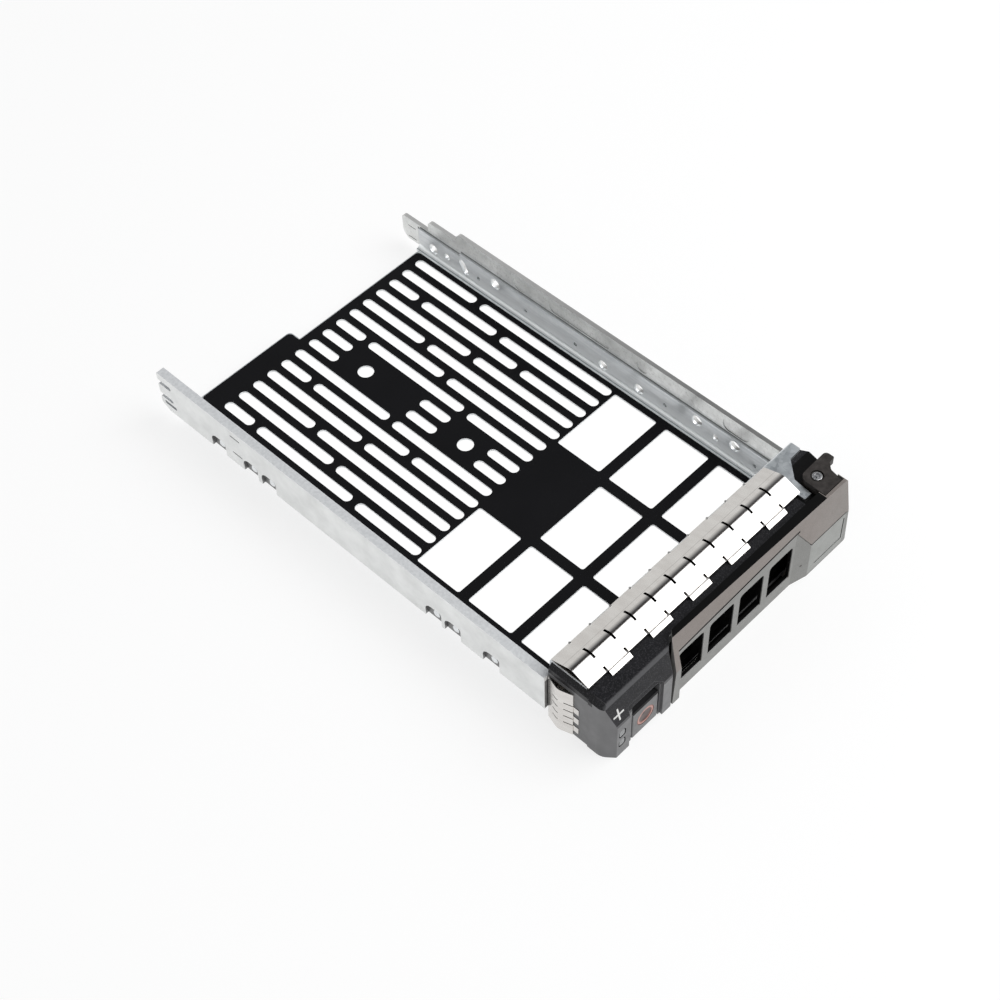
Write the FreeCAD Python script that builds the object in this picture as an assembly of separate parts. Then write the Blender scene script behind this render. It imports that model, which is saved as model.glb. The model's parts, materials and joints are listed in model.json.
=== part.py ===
import FreeCAD, Part
import math
import os

# Hot swap drive caddy for one 3.5 inch hard drive, in millimetres.
# X runs to the right seen from the front, +Y to the rear of the server, +Z up.
# The origin lies on the bay's centre line, on the face that the drive rests on.

# Drive bay
drive_width = 101.6
drive_side_gap = 0.1
drive_screw_height = 6.35
drive_screw_spacing = 101.6
front_screw_y = -35.9
second_screw_shift = 15.1
screw_hole_radius = 2.1

# Base pan, folded from one sheet
sheet_thickness = 0.8
bend_radius = 1.5
service_holes = ((-28.4, 4.3, 1.3), (2.8, 2.9, 1.9), (18.0, 2.6, 1.9), (88.2, 3.8, 1.3), (94.6, 3.0, 2.0))
slanted_hole_y = 80.2
slanted_hole_z = 4.2
slanted_hole_width = 2.7
slanted_hole_length = 6.2
slanted_hole_lean = -28
wall_top = 9.4
wall_rear = 101.5
wall_step_y = 82.0
wall_step_drop = 1.3
film_thickness = 0.3
film_left_margin = 6.5
film_right_margin = 2.3
film_rear = 99.9
tongue_rear = 104.6
tongue_right = -6.0
film_corner = 1.6
pan_border = 0.5
film_front_gap = 0.3
pan_tab_front = -64.0

# Slots of the floor, in columns, with short ties left standing in rows
slot_columns = 15
slot_left_margin = 4.22
slot_right_margin = 3.45
slot_width = 3.5
slot_rear = 97.1
slot_front = 9.67
tie_width = 2.5
tie_first_y = 83.1
tie_pitch = 14.93
tie_rows = ((0, 3), (2,), (1,), (2,))
pad_columns = (6, 7)
pad_front = 22.1
pad_hole_radius = 2.7
pad_hole_x = -0.8
pad_holes_y = (74.0, 29.1)

# Windows of the floor, three by three with one left closed
window_columns = 3
window_rows = 3
window_left_margin = 1.9
window_right_margin = 2.2
window_bar = 3.65
window_rear = 8.67
window_length = 17.55
window_pitch_y = 21.3
window_corner = 0.9
closed_window = (1, 0)
cut_growth = 0.1

# Side rails, cast
rail_top = 16.4
left_rail_width = 2.95
left_rail_bottom = 0.7
left_rail_rear = 110.7
right_rail_width = 1.45
right_rail_bottom = -0.7
right_rail_rear = 110.2
right_step_y = (84.0, 97.5)
right_step_z = (13.3, 8.8)
lobe_notch_depth = 6.2
lobe_notches_z = ((11.7, 13.4), (5.8, 7.4))
pocket_width = 6.6
pocket_height = 5.9
pocket_depth = 1.2
pockets_y = (-37.3, -21.9, -14.1, 57.0, 65.2, 80.1)
rail_slot_y = 72.0
rail_slot_length = 4.4
rail_slot_height = 0.5
rail_slot_depth = 0.7
rail_slots_z = (13.5, 5.8)
rivet_offset_y = 2.7
rivet_height_z = 3.6
rivet_head_radius = 1.3
rivet_shank_radius = 0.7
rivet_fit = 0.03
right_rivets_y = (-44.0, -8.0, 30.0, 52.0, 73.5)
right_rail_heel = 3.4
rail_hole_growth = 0.5
relief_depth = 0.25
mark_depth = 0.5

# Light pipes in the left rail
pipe_radius = 0.6
pipe_clearance = 0.2
upper_pipe_z = 12.55
lower_pipe_z = 1.95
lower_pipe_end_z = 4.0
pipe_rear_gap = 1.7
pipe_bend_y = (100.0, 94.0)
status_window_inset = 5.0
status_windows_z = (6.2, 1.6)
status_window_width = 2.1
status_window_height = 2.7
status_window_rim = 0.35

# Bezel
bezel_bottom = -4.4
bezel_top = 21.2
bezel_front = -78.2
bezel_left_step = 1.6
bezel_seam_step = 0.3
bezel_corner_length = 3.4
bezel_corner_width = 2.8
bezel_corner_radius = 4.5
bezel_seam_y = -69.7
ridge_y = -75.0
slope_foot_z = 11.9
slope_foot_y = -78.0
bezel_left_length = 26.0
recess_ramp = 4.1
recess_left_y = -72.6
recess_right_y = -71.8
corner_right_step = 1.3
duct_left_lap = 1.6
duct_right_lap = 5.7
duct_front = -70.4
duct_top = 19.6

# Front frame, folded from one sheet
frame_rear = -54.0
frame_sheet = 0.8
frame_foot_front = -62.0
frame_side_gap = 0.3
flange_left_gap = 0.1
flange_right_step = 1.1
flange_front = -67.8
vent_pitch = 8.4
vent_size = 6.2
vent_rows_z = (3.2, 11.6)
foot_tab_offset = 7.8
foot_tab_width = 3.0
foot_tab_front = -70.0

# Spring finger strips
strip_thickness = 0.2
strip_rear = -54.5
strip_front = -68.4
strip_right_offset = 7.0
strip_ridge_y = -61.8
strip_rise = 3.0
first_slit_offset = 7.6
slit_count = 10
slit_width = 0.8
strip_ridge_radius = 4.0
front_tab_width = 8.35
front_tab_count = 5
front_tab_front = -70.0
rear_step = 0.35
side_strip_bottom = -4.0
side_strip_top = 16.5
side_strip_rear = -55.0
side_strip_front = -64.4
side_strip_bulge = 1.9
side_strip_ridge_y = -59.8
side_slit_pitch = 3.3
side_slit_first_z = 0.7
side_slit_count = 4
side_slit_width = 0.4
side_tab_first_z = 9.0
side_tab_pitch = 4.8
side_tab_height = 2.7
side_tab_count = 3
side_tab_front = -66.3

# Lever
pin_inset = 5.1
pin_y = -68.9
pin_radius = 1.0
pin_head_radius = 1.6
pin_head_gap = 0.5
pin_dish_radius = 0.95
pin_fit = 0.04
boss_radius = 4.0
lever_bottom = -4.4
lever_top = 24.5
lever_left_gap = 0.5
lever_left_draft = 1.6
lever_right_reach = 6.0
lever_right_draft = 1.3
lever_rear = -73.1
lever_crease_z = 11.0
lever_head_left_y = -75.0
lever_head_right_y = -76.5
panel_y = -76.6
panel_left_offset = 3.1
panel_right_offset = 18.4
facet_width = 6.2
crease_groove = 0.4
panel_wall = 1.3
post_gap = 0.6
air_count = 4
air_left_margin = 0.6
air_right_margin = 1.1
air_rib = 2.6
air_bottom = 0.7
air_height = 15.0
plate_gap = 0.3
plate_thickness = 2.6
lower_plate_thickness = 2.3
web_left_reach = 9.6
web_right_reach = 3.8
web_thickness = 1.2
tail_reach = 8.9
eye_reach = 4.1
eye_rear = 3.6
eye_corner = 2.8
web_margin_top = 4.4
web_margin_bottom = 3.0
lever_screw_offset = 7.0
lever_screws_z = (2.0, 17.0)
lever_screw_radius = 0.8
catch_offset = 6.3
catch_thickness = 0.5
catch_bottom = -2.9
catch_height = 3.0
catch_nose = 1.6
latch_hold = 0.6

# Release button
button_inset = 10.2
button_width = 10.7
button_bottom = -3.8
button_top = 8.2
button_gap = 0.4
button_front = -77.4
button_edge = 0.4
button_hood_top = 14.9
button_hood_depth = 0.9
button_pocket_top = 12.2
button_rear = -72.4
button_travel = 2.0
stem_offset = 5.5
stem_z = 2.1
stem_radius = 2.6
stem_fit = 0.1
stem_rear = -65.8
stem_wall_front = -70.0
stem_wall_rear = -67.0
spring_room_radius = 3.7
ring_radius = 3.3
ring_width = 0.65
ring_gap = 0.2
ring_depth = 1.2
dish_radius = 6.0
clip_thickness = 0.5
spring_wire = 0.45

# Screws that fasten the frame's foot and the pan's tab to the bezel
bezel_screw_margin = 6.9
bezel_screw_y = -59.2
bezel_screw_radius = 1.2
bezel_screw_head = 2.3
bezel_screw_length = 3.6

# Sizes that follow from those above
wall_in = drive_width / 2 + drive_side_gap
wall_out = wall_in + sheet_thickness
film_left = film_left_margin - wall_in
film_right = wall_in - film_right_margin
slot_first_x = film_left + slot_left_margin
slot_pitch = (film_right - slot_right_margin - slot_first_x) / (slot_columns - 1)
window_left = film_left + window_left_margin
window_pitch_x = (film_right - window_right_margin + window_bar - window_left) / window_columns
window_width = window_pitch_x - window_bar
pan_top = -film_thickness
pan_bottom = pan_top - sheet_thickness
bezel_rear = frame_rear - frame_sheet
frame_top = bezel_top + frame_sheet
strip_bottom = frame_top
left_rail_out = wall_out + left_rail_width
right_rail_out = wall_out + right_rail_width
pipe_x = -(wall_out + pipe_radius)
pipe_rear = left_rail_rear - pipe_rear_gap
pin_x = wall_out - pin_inset
bezel_left = -(wall_out + bezel_left_step)
bezel_recess_left = bezel_left + bezel_seam_step
bezel_right_end = bezel_left + bezel_left_length
corner_right_x = wall_out + corner_right_step
recess_left_x = bezel_right_end + recess_ramp
recess_right_x = pin_x - 3.3
duct_left = bezel_right_end - duct_left_lap
duct_right = pin_x - duct_right_lap
status_window_x = bezel_left + status_window_inset
flange_left = flange_left_gap - wall_out
flange_right = wall_out + flange_right_step
foot_tab_left = pin_x - foot_tab_offset
foot_tab_right = foot_tab_left + foot_tab_width
bezel_screws_x = (
    duct_left + bezel_screw_margin,
    (duct_left + duct_right) / 2,
    duct_right - bezel_screw_margin,
)
strip_right = pin_x - strip_right_offset
first_slit_x = flange_left + first_slit_offset
finger_pitch = (strip_right + slit_width / 2 - first_slit_x) / slit_count
front_tab_first_x = first_slit_x + slit_width / 2
lever_left_foot = bezel_right_end + lever_left_gap
lever_left_head = lever_left_foot + lever_left_draft
lever_right_foot = pin_x + lever_right_reach
lever_right_head = lever_right_foot - lever_right_draft
panel_left = lever_left_foot + panel_left_offset
panel_right = pin_x - panel_right_offset
facet_right = panel_right + facet_width
air_first_x = panel_left + air_left_margin
air_pitch = (panel_right - air_right_margin + air_rib - air_first_x) / air_count
air_width = air_pitch - air_rib
web_left = pin_x - web_left_reach
web_right = pin_x + web_right_reach
tail_right = pin_x + tail_reach
lever_screw_x = pin_x - lever_screw_offset
catch_x = lever_left_foot + catch_offset
button_left = bezel_left + button_inset
button_right = button_left + button_width
stem_x = button_left + stem_offset
plate_bottom = bezel_top + plate_gap
plate_top = plate_bottom + plate_thickness
lower_plate_bottom = lever_bottom + 0.2
lower_plate_top = lower_plate_bottom + lower_plate_thickness
boss_bottom = lower_plate_top + plate_gap
web_front = panel_y + panel_wall + 0.3
web_rear = web_front + web_thickness


def vector(x, y, z):
    return FreeCAD.Vector(x, y, z)


def outline(corners, place):
    """Closed wire through corners (a, b) or (a, b, radius), set into space by place."""
    points = [vector(corner[0], corner[1], 0) for corner in corners]
    spans = []
    for index, corner in enumerate(corners):
        point = points[index]
        radius = corner[2] if len(corner) > 2 else 0
        if not radius:
            spans.append([point])
            continue
        back = (points[index - 1] - point).normalize()
        ahead = (points[(index + 1) % len(points)] - point).normalize()
        half = back.getAngle(ahead) / 2
        reach = radius / math.tan(half)
        middle = (back + ahead).normalize()
        centre = point + middle * (radius / math.sin(half))
        spans.append([point + back * reach, centre - middle * radius, point + ahead * reach])
    edges = []
    for index, span in enumerate(spans):
        here = [place(point) for point in span]
        if len(here) == 3:
            edges.append(Part.Arc(here[0], here[1], here[2]).toShape())
        after = place(spans[(index + 1) % len(spans)][0])
        if (after - here[-1]).Length > 1e-6:
            edges.append(Part.LineSegment(here[-1], after).toShape())
    return Part.Wire(edges)


def plate(corners, low, high):
    """Outline in X and Y, from height low to high."""
    wire = outline(corners, lambda point: vector(point.x, point.y, low))
    return Part.Face(wire).extrude(vector(0, 0, high - low))


def along_x(corners, low, high):
    """Outline in Y and Z, from X low to high."""
    wire = outline(corners, lambda point: vector(low, point.x, point.y))
    return Part.Face(wire).extrude(vector(high - low, 0, 0))


def along_y(corners, low, high):
    """Outline in X and Z, from Y low to high."""
    wire = outline(corners, lambda point: vector(point.x, low, point.y))
    return Part.Face(wire).extrude(vector(0, high - low, 0))


def block(x_low, x_high, y_low, y_high, z_low, z_high):
    corner = vector(x_low, y_low, z_low)
    return Part.makeBox(x_high - x_low, y_high - y_low, z_high - z_low, corner)


def rod_x(y, z, radius, low, high):
    return Part.makeCylinder(radius, high - low, vector(low, y, z), vector(1, 0, 0))


def rod_y(x, z, radius, low, high):
    return Part.makeCylinder(radius, high - low, vector(x, low, z), vector(0, 1, 0))


def rod_z(x, y, radius, low, high):
    return Part.makeCylinder(radius, high - low, vector(x, y, low), vector(0, 0, 1))


def joined(shapes):
    """One solid from shapes that touch or overlap."""
    whole = shapes[0].fuse(shapes[1:]) if len(shapes) > 1 else shapes[0]
    return whole.removeSplitter()


def rectangle(a_low, a_high, b_low, b_high, radius=0):
    corners = [(a_low, b_low), (a_high, b_low), (a_high, b_high), (a_low, b_high)]
    return [corner + (radius,) for corner in corners] if radius else corners


def bent_rod(points, radius):
    """Round rod through the points, with a ball at each turn."""
    pieces = []
    for start, end in zip(points, points[1:]):
        run = end - start
        pieces.append(Part.makeCylinder(radius, run.Length, start, run))
    for point in points[1:-1]:
        pieces.append(Part.makeSphere(radius, point))
    return joined(pieces)


def coil(centre, axis, radius, wire_radius, turns, pitch):
    """Round wire wound about an axis through centre."""
    height = turns * pitch
    helix = Part.makeHelix(pitch, height, radius)
    start = vector(radius, 0, 0)
    section = Part.Wire(Part.makeCircle(wire_radius, start, vector(0, 1, pitch / (2 * math.pi * radius))))
    wire = Part.Wire(helix).makePipeShell([section], True, True)
    wire.rotate(vector(0, 0, 0), *turn_to(axis))
    wire.translate(centre)
    return wire


def turn_to(axis):
    """Axis and angle that turn +Z to the given axis."""
    rotation = FreeCAD.Rotation(vector(0, 0, 1), axis)
    return rotation.Axis, math.degrees(rotation.Angle)


# Floor cuts, shared by the pan and the film


def tie_rear(row):
    return tie_first_y - row * tie_pitch + tie_width / 2


def tie_front(row):
    return tie_first_y - row * tie_pitch - tie_width / 2


def slot_runs(column):
    """Rear and front end of each slot in a column."""
    if column in pad_columns:
        return [(slot_rear, tie_rear(0)), (tie_front(2), tie_rear(3)), (pad_front, slot_front)]
    runs = []
    rear = slot_rear
    for row in tie_rows[column % len(tie_rows)]:
        runs.append((rear, tie_rear(row)))
        rear = tie_front(row)
    runs.append((rear, slot_front))
    return runs


def window_corners(column, row, growth):
    left = window_left + column * window_pitch_x - growth
    rear = window_rear - row * window_pitch_y + growth
    front = rear - window_length - 2 * growth
    right = left + window_width + 2 * growth
    return rectangle(left, right, front, rear, window_corner)


def floor_cuts(low, high, growth):
    """Slots, round holes and windows of the floor, each larger by growth on every side."""
    cuts = []
    half = slot_width / 2 + growth
    for column in range(slot_columns):
        x = slot_first_x + column * slot_pitch
        for rear, front in slot_runs(column):
            corners = rectangle(x - half, x + half, front - growth, rear + growth, half - 0.01)
            cuts.append(plate(corners, low, high))
    for y in pad_holes_y:
        cuts.append(rod_z(pad_hole_x, y, pad_hole_radius + growth, low, high))
    for column in range(window_columns):
        for row in range(window_rows):
            if (column, row) != closed_window:
                cuts.append(plate(window_corners(column, row, growth), low, high))
    return cuts


def floor_outline(border, front):
    """Outline of film or pan floor, with the tongue at the rear left."""
    left = film_left - border
    step = tongue_right + border
    return [
        (left, front),
        (film_right, front),
        (film_right, film_rear + border, film_corner),
        (step, film_rear + border, 0.6),
        (step, tongue_rear + border, film_corner),
        (left, tongue_rear + border, film_corner),
    ]


def insulating_sheet():
    front = frame_rear + film_front_gap
    film = plate(floor_outline(0, front), pan_top, 0)
    return film.cut(floor_cuts(pan_top - 1, 1, 0))


# Base pan


def wall_holes(low, high, growth=0):
    """Holes of a side wall from X low to high: drive screws, their second places and service holes."""
    screw_places = (front_screw_y, front_screw_y + second_screw_shift, front_screw_y + drive_screw_spacing)
    holes = [rod_x(y, drive_screw_height, screw_hole_radius + growth, low, high) for y in screw_places]
    for y, z, radius in service_holes:
        holes.append(rod_x(y, z, radius + growth, low, high))
    holes.append(slanted_hole(low, high, growth))
    return holes


def slanted_hole(low, high, growth):
    """Leaning oblong hole behind the rear drive screw."""
    half_width = slanted_hole_width / 2 + growth
    half_length = slanted_hole_length / 2 + growth
    corners = rectangle(-half_width, half_width, -half_length, half_length, half_width - 0.01)
    shape = along_x(corners, low, high)
    shape.rotate(vector(0, 0, 0), vector(1, 0, 0), slanted_hole_lean)
    shape.translate(vector(0, slanted_hole_y, slanted_hole_z))
    return shape


def rivet_places():
    """Rivets of the left rail, one in each pocket, and of the right rail, as (y, side)."""
    left = [(y + rivet_offset_y, -1) for y in pockets_y]
    right = [(y, 1) for y in right_rivets_y]
    return left + right


def base_pan():
    outer = bend_radius + sheet_thickness
    section = [
        (-wall_out, wall_top),
        (-wall_out, pan_bottom, outer),
        (wall_out, pan_bottom, outer),
        (wall_out, wall_top),
        (wall_in, wall_top),
        (wall_in, pan_top, bend_radius),
        (-wall_in, pan_top, bend_radius),
        (-wall_in, wall_top),
    ]
    pan = along_y(section, bezel_rear, tongue_rear + pan_border)
    past = wall_out + 1
    floor_end = film_rear + pan_border
    walls_end = block(-past, past, wall_rear, tongue_rear + 5, pan_bottom - 1, wall_top + 1)
    tongue = plate(floor_outline(pan_border, 0), pan_bottom - 2, pan_top + 0.01)
    floor_gap = plate(
        rectangle(tongue_right + pan_border, wall_in - bend_radius, floor_end, wall_rear + 5),
        pan_bottom - 1,
        pan_top + 0.1,
    )
    step = block(-past, past, wall_step_y, wall_rear + 5, wall_top - wall_step_drop, wall_top + 1)
    pan = pan.cut([walls_end.cut(tongue), floor_gap, step])
    tab = block(duct_left + 0.4, duct_right - 0.4, pan_tab_front, bezel_rear + 0.5, pan_bottom, pan_top)
    pan = joined([pan, tab])
    rivets = []
    for y, side in rivet_places():
        low, high = sorted((side * (wall_in - 1), side * past))
        rivets.append(rod_x(y, rivet_height_z, rivet_shank_radius + rivet_fit, low, high))
    screws = [
        rod_z(x, bezel_screw_y, bezel_screw_radius + rivet_fit, pan_bottom - 1, pan_top + 1)
        for x in bezel_screws_x
    ]
    cuts = floor_cuts(pan_bottom - 1, pan_top + 1, cut_growth)
    return pan.cut(cuts + wall_holes(-past, past) + rivets + screws)


# Side rails


def pipe_route(number):
    """Points of a light pipe from the rail's rear end to the front of the bezel; 0 is the upper one."""
    z = (upper_pipe_z, lower_pipe_z)[number]
    window_z = status_windows_z[number]
    rear = [vector(pipe_x, pipe_rear, z)]
    if number:
        rear = [vector(pipe_x, pipe_rear, lower_pipe_end_z)]
        rear.append(vector(pipe_x, pipe_bend_y[0], lower_pipe_end_z))
        rear.append(vector(pipe_x, pipe_bend_y[1], z))
    turn = bezel_rear - 2.2
    return rear + [
        vector(pipe_x, turn, z),
        vector(status_window_x, turn - 9.5, window_z),
        vector(status_window_x, bezel_front + 1, window_z),
    ]


def pipe_room(number):
    """Space that a light pipe needs in what carries it."""
    return bent_rod(pipe_route(number), pipe_radius + pipe_clearance)


def status_block(number, growth):
    """Window end of a light pipe in the bezel's front face, or the room for it with a growth."""
    half_width = status_window_width / 2 + growth
    half_height = status_window_height / 2 + growth
    z = status_windows_z[number]
    corners = rectangle(
        status_window_x - half_width,
        status_window_x + half_width,
        z - half_height,
        z + half_height,
        0.6 + growth,
    )
    return along_y(corners, bezel_front + 0.1 - growth, bezel_front + 2.5 + growth)


def light_pipe(number):
    return joined([bent_rod(pipe_route(number), pipe_radius), status_block(number, 0)])


def pocket_corners(y):
    low = left_rail_bottom - 1
    high = left_rail_bottom + pocket_height
    return [(y, low), (y + pocket_width, low), (y + pocket_width, high, 2.9), (y, high, 1.0)]


def left_rail():
    rear = left_rail_rear
    corners = [
        (bezel_rear, left_rail_bottom),
        (rear - 3.4, left_rail_bottom, 1.5),
        (rear, 2.7, 1.2),
    ]
    for low, high in reversed(lobe_notches_z):
        corners.append((rear, low, 0.8))
        corners.append((rear - lobe_notch_depth, low, 0.8))
        corners.append((rear - lobe_notch_depth, high, 0.8))
        corners.append((rear, high, 0.7))
    corners.append((rear, rail_top, 0.5))
    corners.append((bezel_rear, rail_top, 0.4))
    rail = along_x(corners, -left_rail_out, -wall_out)
    face = -left_rail_out
    cuts = [along_x(pocket_corners(y), face - 1, face + pocket_depth) for y in pockets_y]
    for z in rail_slots_z:
        low = z - rail_slot_height / 2
        slot = rectangle(rail_slot_y, rail_slot_y + rail_slot_length, low, low + rail_slot_height, 0.2)
        cuts.append(along_x(slot, face - 1, face + rail_slot_depth))
    lobe_z = lower_pipe_end_z
    lobe = rectangle(rear - 7.3, pipe_rear, lobe_z - 0.7, lobe_z + 0.7, 0.6)
    cuts.append(along_x(lobe, face - 1, pipe_x))
    for y, side in rivet_places():
        if side < 0:
            cuts.append(rod_x(y, rivet_height_z, rivet_shank_radius + rivet_fit, face - 1, -wall_out + 1))
    for number in (0, 1):
        cuts.append(pipe_room(number))
        cuts.append(groove(number))
    return rail.cut(cuts)


def groove(number):
    """Opens the light pipe's channel towards the pan wall, so that the pipe can be laid in."""
    route = pipe_route(number)[:-2]
    half = pipe_radius + pipe_clearance
    pieces = []
    for start, end in zip(route, route[1:]):
        corners = [
            (start.y, start.z - half),
            (end.y, end.z - half),
            (end.y, end.z + half),
            (start.y, start.z + half),
        ]
        pieces.append(along_x(corners, pipe_x, -wall_out + 0.5))
    return joined(pieces)


def right_rail():
    rear = right_rail_rear
    first, second = right_step_y
    middle, low = right_step_z
    corners = [
        (bezel_rear, right_rail_bottom),
        (rear - 0.4, right_rail_bottom, right_rail_heel),
        (rear, low, 1.4),
        (second, low, 0.5),
        (second, middle, 1.6),
        (first, middle, 0.5),
        (first, rail_top, 1.6),
        (bezel_rear, rail_top),
    ]
    rail = along_x(corners, wall_out, right_rail_out)
    inside = wall_out - 1
    floor = wall_out + relief_depth
    cuts = [
        along_x(rectangle(-40.6, -30.1, 10.2, 15.4, 2.5), inside, floor),
        along_x(rectangle(16.0, 42.0, 10.4, 14.6, 2.0), inside, floor),
        rod_x(2.5, 12.9, 2.4, inside, floor),
        rod_x(55.1, 12.9, 2.9, inside, floor),
    ]
    mark = wall_out + mark_depth
    cuts += [
        along_x(rectangle(rear - 6.5, rear - 2.9, 5.4, 5.75), inside, mark),
        along_x(rectangle(rear - 6.5, rear - 2.9, 0.4, 0.75), inside, mark),
        along_x(rectangle(wall_rear + 0.5, wall_rear + 0.95, 0.0, 8.0), inside, mark),
    ]
    cuts += wall_holes(inside, right_rail_out + 1, rail_hole_growth)
    for y, side in rivet_places():
        if side > 0:
            cuts.append(rod_x(y, rivet_height_z, rivet_shank_radius + rivet_fit, inside, right_rail_out + 1))
    return rail.cut(cuts)


def rivet(y, side):
    """Round headed rivet through rail and pan wall, flush inside the bay."""
    seat = (left_rail_out - pocket_depth) if side < 0 else right_rail_out
    inner = wall_in + 0.05
    shank = rod_x(y, rivet_height_z, rivet_shank_radius, inner, seat + 0.1)
    head = rod_x(y, rivet_height_z, rivet_head_radius, seat, seat + 0.35)
    dome = Part.makeSphere(2.0, vector(seat + 0.8 - 2.0, y, rivet_height_z))
    cap = rod_x(y, rivet_height_z, rivet_head_radius, seat, seat + 2).common(dome)
    whole = joined([shank, head, cap])
    if side < 0:
        whole = whole.mirror(vector(0, 0, 0), vector(1, 0, 0))
    return whole


def rivets(wanted_side):
    return Part.makeCompound([rivet(y, side) for y, side in rivet_places() if side == wanted_side])


# Front frame


def frame_vents():
    cuts = []
    count = int((duct_right - duct_left) / vent_pitch)
    start = (duct_left + duct_right) / 2 - (count - 1) * vent_pitch / 2
    half = vent_size / 2
    for column in range(count):
        x = start + column * vent_pitch
        for z in vent_rows_z:
            corners = rectangle(x - half, x + half, z, z + vent_size + 0.6, 1.0)
            cuts.append(along_y(corners, bezel_rear - 1, frame_rear + 1))
    return cuts


def front_frame():
    half = wall_in - frame_side_gap
    shoulder = rail_top + frame_side_gap
    outer = frame_sheet + 0.4
    wall = along_y(
        [
            (-half, pan_top, 2.0),
            (half, pan_top, 2.0),
            (half, shoulder),
            (flange_right, shoulder),
            (flange_right, frame_top - outer),
            (flange_left, frame_top - outer),
            (flange_left, shoulder),
            (-half, shoulder),
        ],
        bezel_rear,
        frame_rear,
    )
    fold = along_x(
        [
            (frame_rear, frame_top - outer),
            (frame_rear, frame_top, outer - 0.01),
            (bezel_rear - 1.0, frame_top),
            (bezel_rear - 1.0, bezel_top),
            (bezel_rear, bezel_top, 0.3),
            (bezel_rear, frame_top - outer),
        ],
        flange_left,
        flange_right,
    )
    flange = plate(
        [
            (flange_left, bezel_rear - 0.5),
            (flange_left, flange_front),
            (foot_tab_left, flange_front),
            (foot_tab_left, foot_tab_front),
            (foot_tab_right, foot_tab_front),
            (pin_x - 4.1, pin_y + 4.8),
            (pin_x + 1.1, pin_y + 10.5, 0.6),
            (flange_right, pin_y + 10.7, 0.6),
            (flange_right, bezel_rear - 0.5),
        ],
        bezel_top,
        frame_top,
    )
    hook = block(
        foot_tab_left,
        foot_tab_right,
        foot_tab_front - frame_sheet,
        foot_tab_front + 0.01,
        bezel_top - 1.2,
        frame_top,
    )
    foot = along_x(
        [
            (frame_rear, pan_top, outer),
            (frame_foot_front, pan_top),
            (frame_foot_front, pan_top + frame_sheet),
            (bezel_rear, pan_top + frame_sheet, 0.3),
            (bezel_rear, 2.5),
            (frame_rear, 2.5),
        ],
        duct_left + 0.4,
        duct_right - 0.4,
    )
    left = duct_left + 0.4
    right = duct_right - 0.4
    under_fold = block(left, right, bezel_rear - 0.1, frame_rear + 0.1, pan_top - 0.1, 2.4)
    frame = joined([wall.cut(under_fold), fold, flange, hook, foot])
    screws = [
        rod_z(x, bezel_screw_y, bezel_screw_radius + rivet_fit, pan_top - 1, pan_top + 2)
        for x in bezel_screws_x
    ]
    return frame.cut(frame_vents() + screws)


# Bezel


def bezel_plan():
    """Outline of the bezel seen from above, with the long recess that takes the lever."""
    return [
        (bezel_recess_left, bezel_rear),
        (bezel_recess_left, bezel_seam_y),
        (bezel_left, bezel_seam_y),
        (bezel_left, bezel_front + bezel_corner_length, bezel_corner_radius),
        (bezel_left + bezel_corner_width, bezel_front, 0.3),
        (bezel_right_end, bezel_front, 0.4),
        (bezel_right_end + 0.7, ridge_y - 0.4, 0.8),
        (recess_left_x, recess_left_y, 0.5),
        (recess_right_x, recess_right_y, 1.0),
        (pin_x + 0.5, pin_y),
        (pin_x + 3.8, pin_y + 2.7, 0.8),
        (corner_right_x + 0.5, pin_y + 5.0, 0.8),
        (corner_right_x + 1.2, pin_y + 8.6, 1.0),
        (corner_right_x, pin_y + 10.7, 1.0),
        (corner_right_x, bezel_rear),
    ]


def front_slope():
    """Long block with the bezel's sloping front and a rounded ridge along its top."""
    return along_x(
        [
            (bezel_rear + 1, bezel_bottom - 1),
            (bezel_front - 0.001, bezel_bottom - 1),
            (bezel_front - 0.001, slope_foot_z - 0.9),
            (slope_foot_y, slope_foot_z, 2.0),
            (ridge_y, bezel_top, 0.9),
            (bezel_rear + 1, bezel_top),
        ],
        bezel_left - 1,
        corner_right_x + 3,
    )


def button_recess():
    """Recess round the release button that follows the sloping front, open at the bottom, and its pocket."""
    low = bezel_bottom - 1
    left = button_left - 2.1
    right = button_right + 1.2
    top = button_hood_top
    window = along_y(
        [(left, low), (right, low), (right, top - 2.4, 1.2), (right - 3.0, top, 0.8), (left, top, 0.8)],
        bezel_front - 1,
        ridge_y,
    )
    hood = front_slope()
    hood.translate(vector(0, button_hood_depth, 0))
    pocket = along_y(
        rectangle(button_left - button_gap, button_right + button_gap, low, button_pocket_top, 0.8),
        bezel_front - 1,
        button_front + 2.2,
    )
    shaft = along_y(
        rectangle(
            button_left - button_gap,
            button_right + button_gap,
            button_bottom - button_gap,
            button_top + button_gap,
            0.6,
        ),
        bezel_front - 1,
        stem_wall_front,
    )
    return [window.cut(hood), pocket, shaft]


def arm_box(gap, travel):
    """The button's latch arm under its stem, or the room for it with a gap and its travel."""
    arm = block(
        stem_x - 1.6 - gap,
        catch_x - catch_nose - 0.5 + gap,
        -69.3 - gap,
        -67.7 + gap + travel,
        catch_bottom + 0.3 - gap,
        catch_bottom + 2.1 + gap,
    )
    leg = block(
        stem_x - 1.6 - gap,
        stem_x + 1.6 + gap,
        -69.3 - gap,
        -67.7 + gap + travel,
        catch_bottom + 0.3 - gap,
        stem_z,
    )
    return joined([arm, leg])


def catch_room():
    """Mouth and pocket that the lever's catch swings out of."""
    low = catch_bottom - 0.35
    high = catch_bottom + catch_height + 0.35
    mouth = block(
        catch_x - catch_nose + latch_hold,
        catch_x + catch_thickness + 0.6,
        recess_left_y - 1,
        duct_front,
        low,
        high,
    )
    pocket = block(
        catch_x - catch_nose - 0.5,
        catch_x + catch_thickness + 0.6,
        duct_front,
        -67.4,
        low,
        high,
    )
    return [mouth, pocket]


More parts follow.
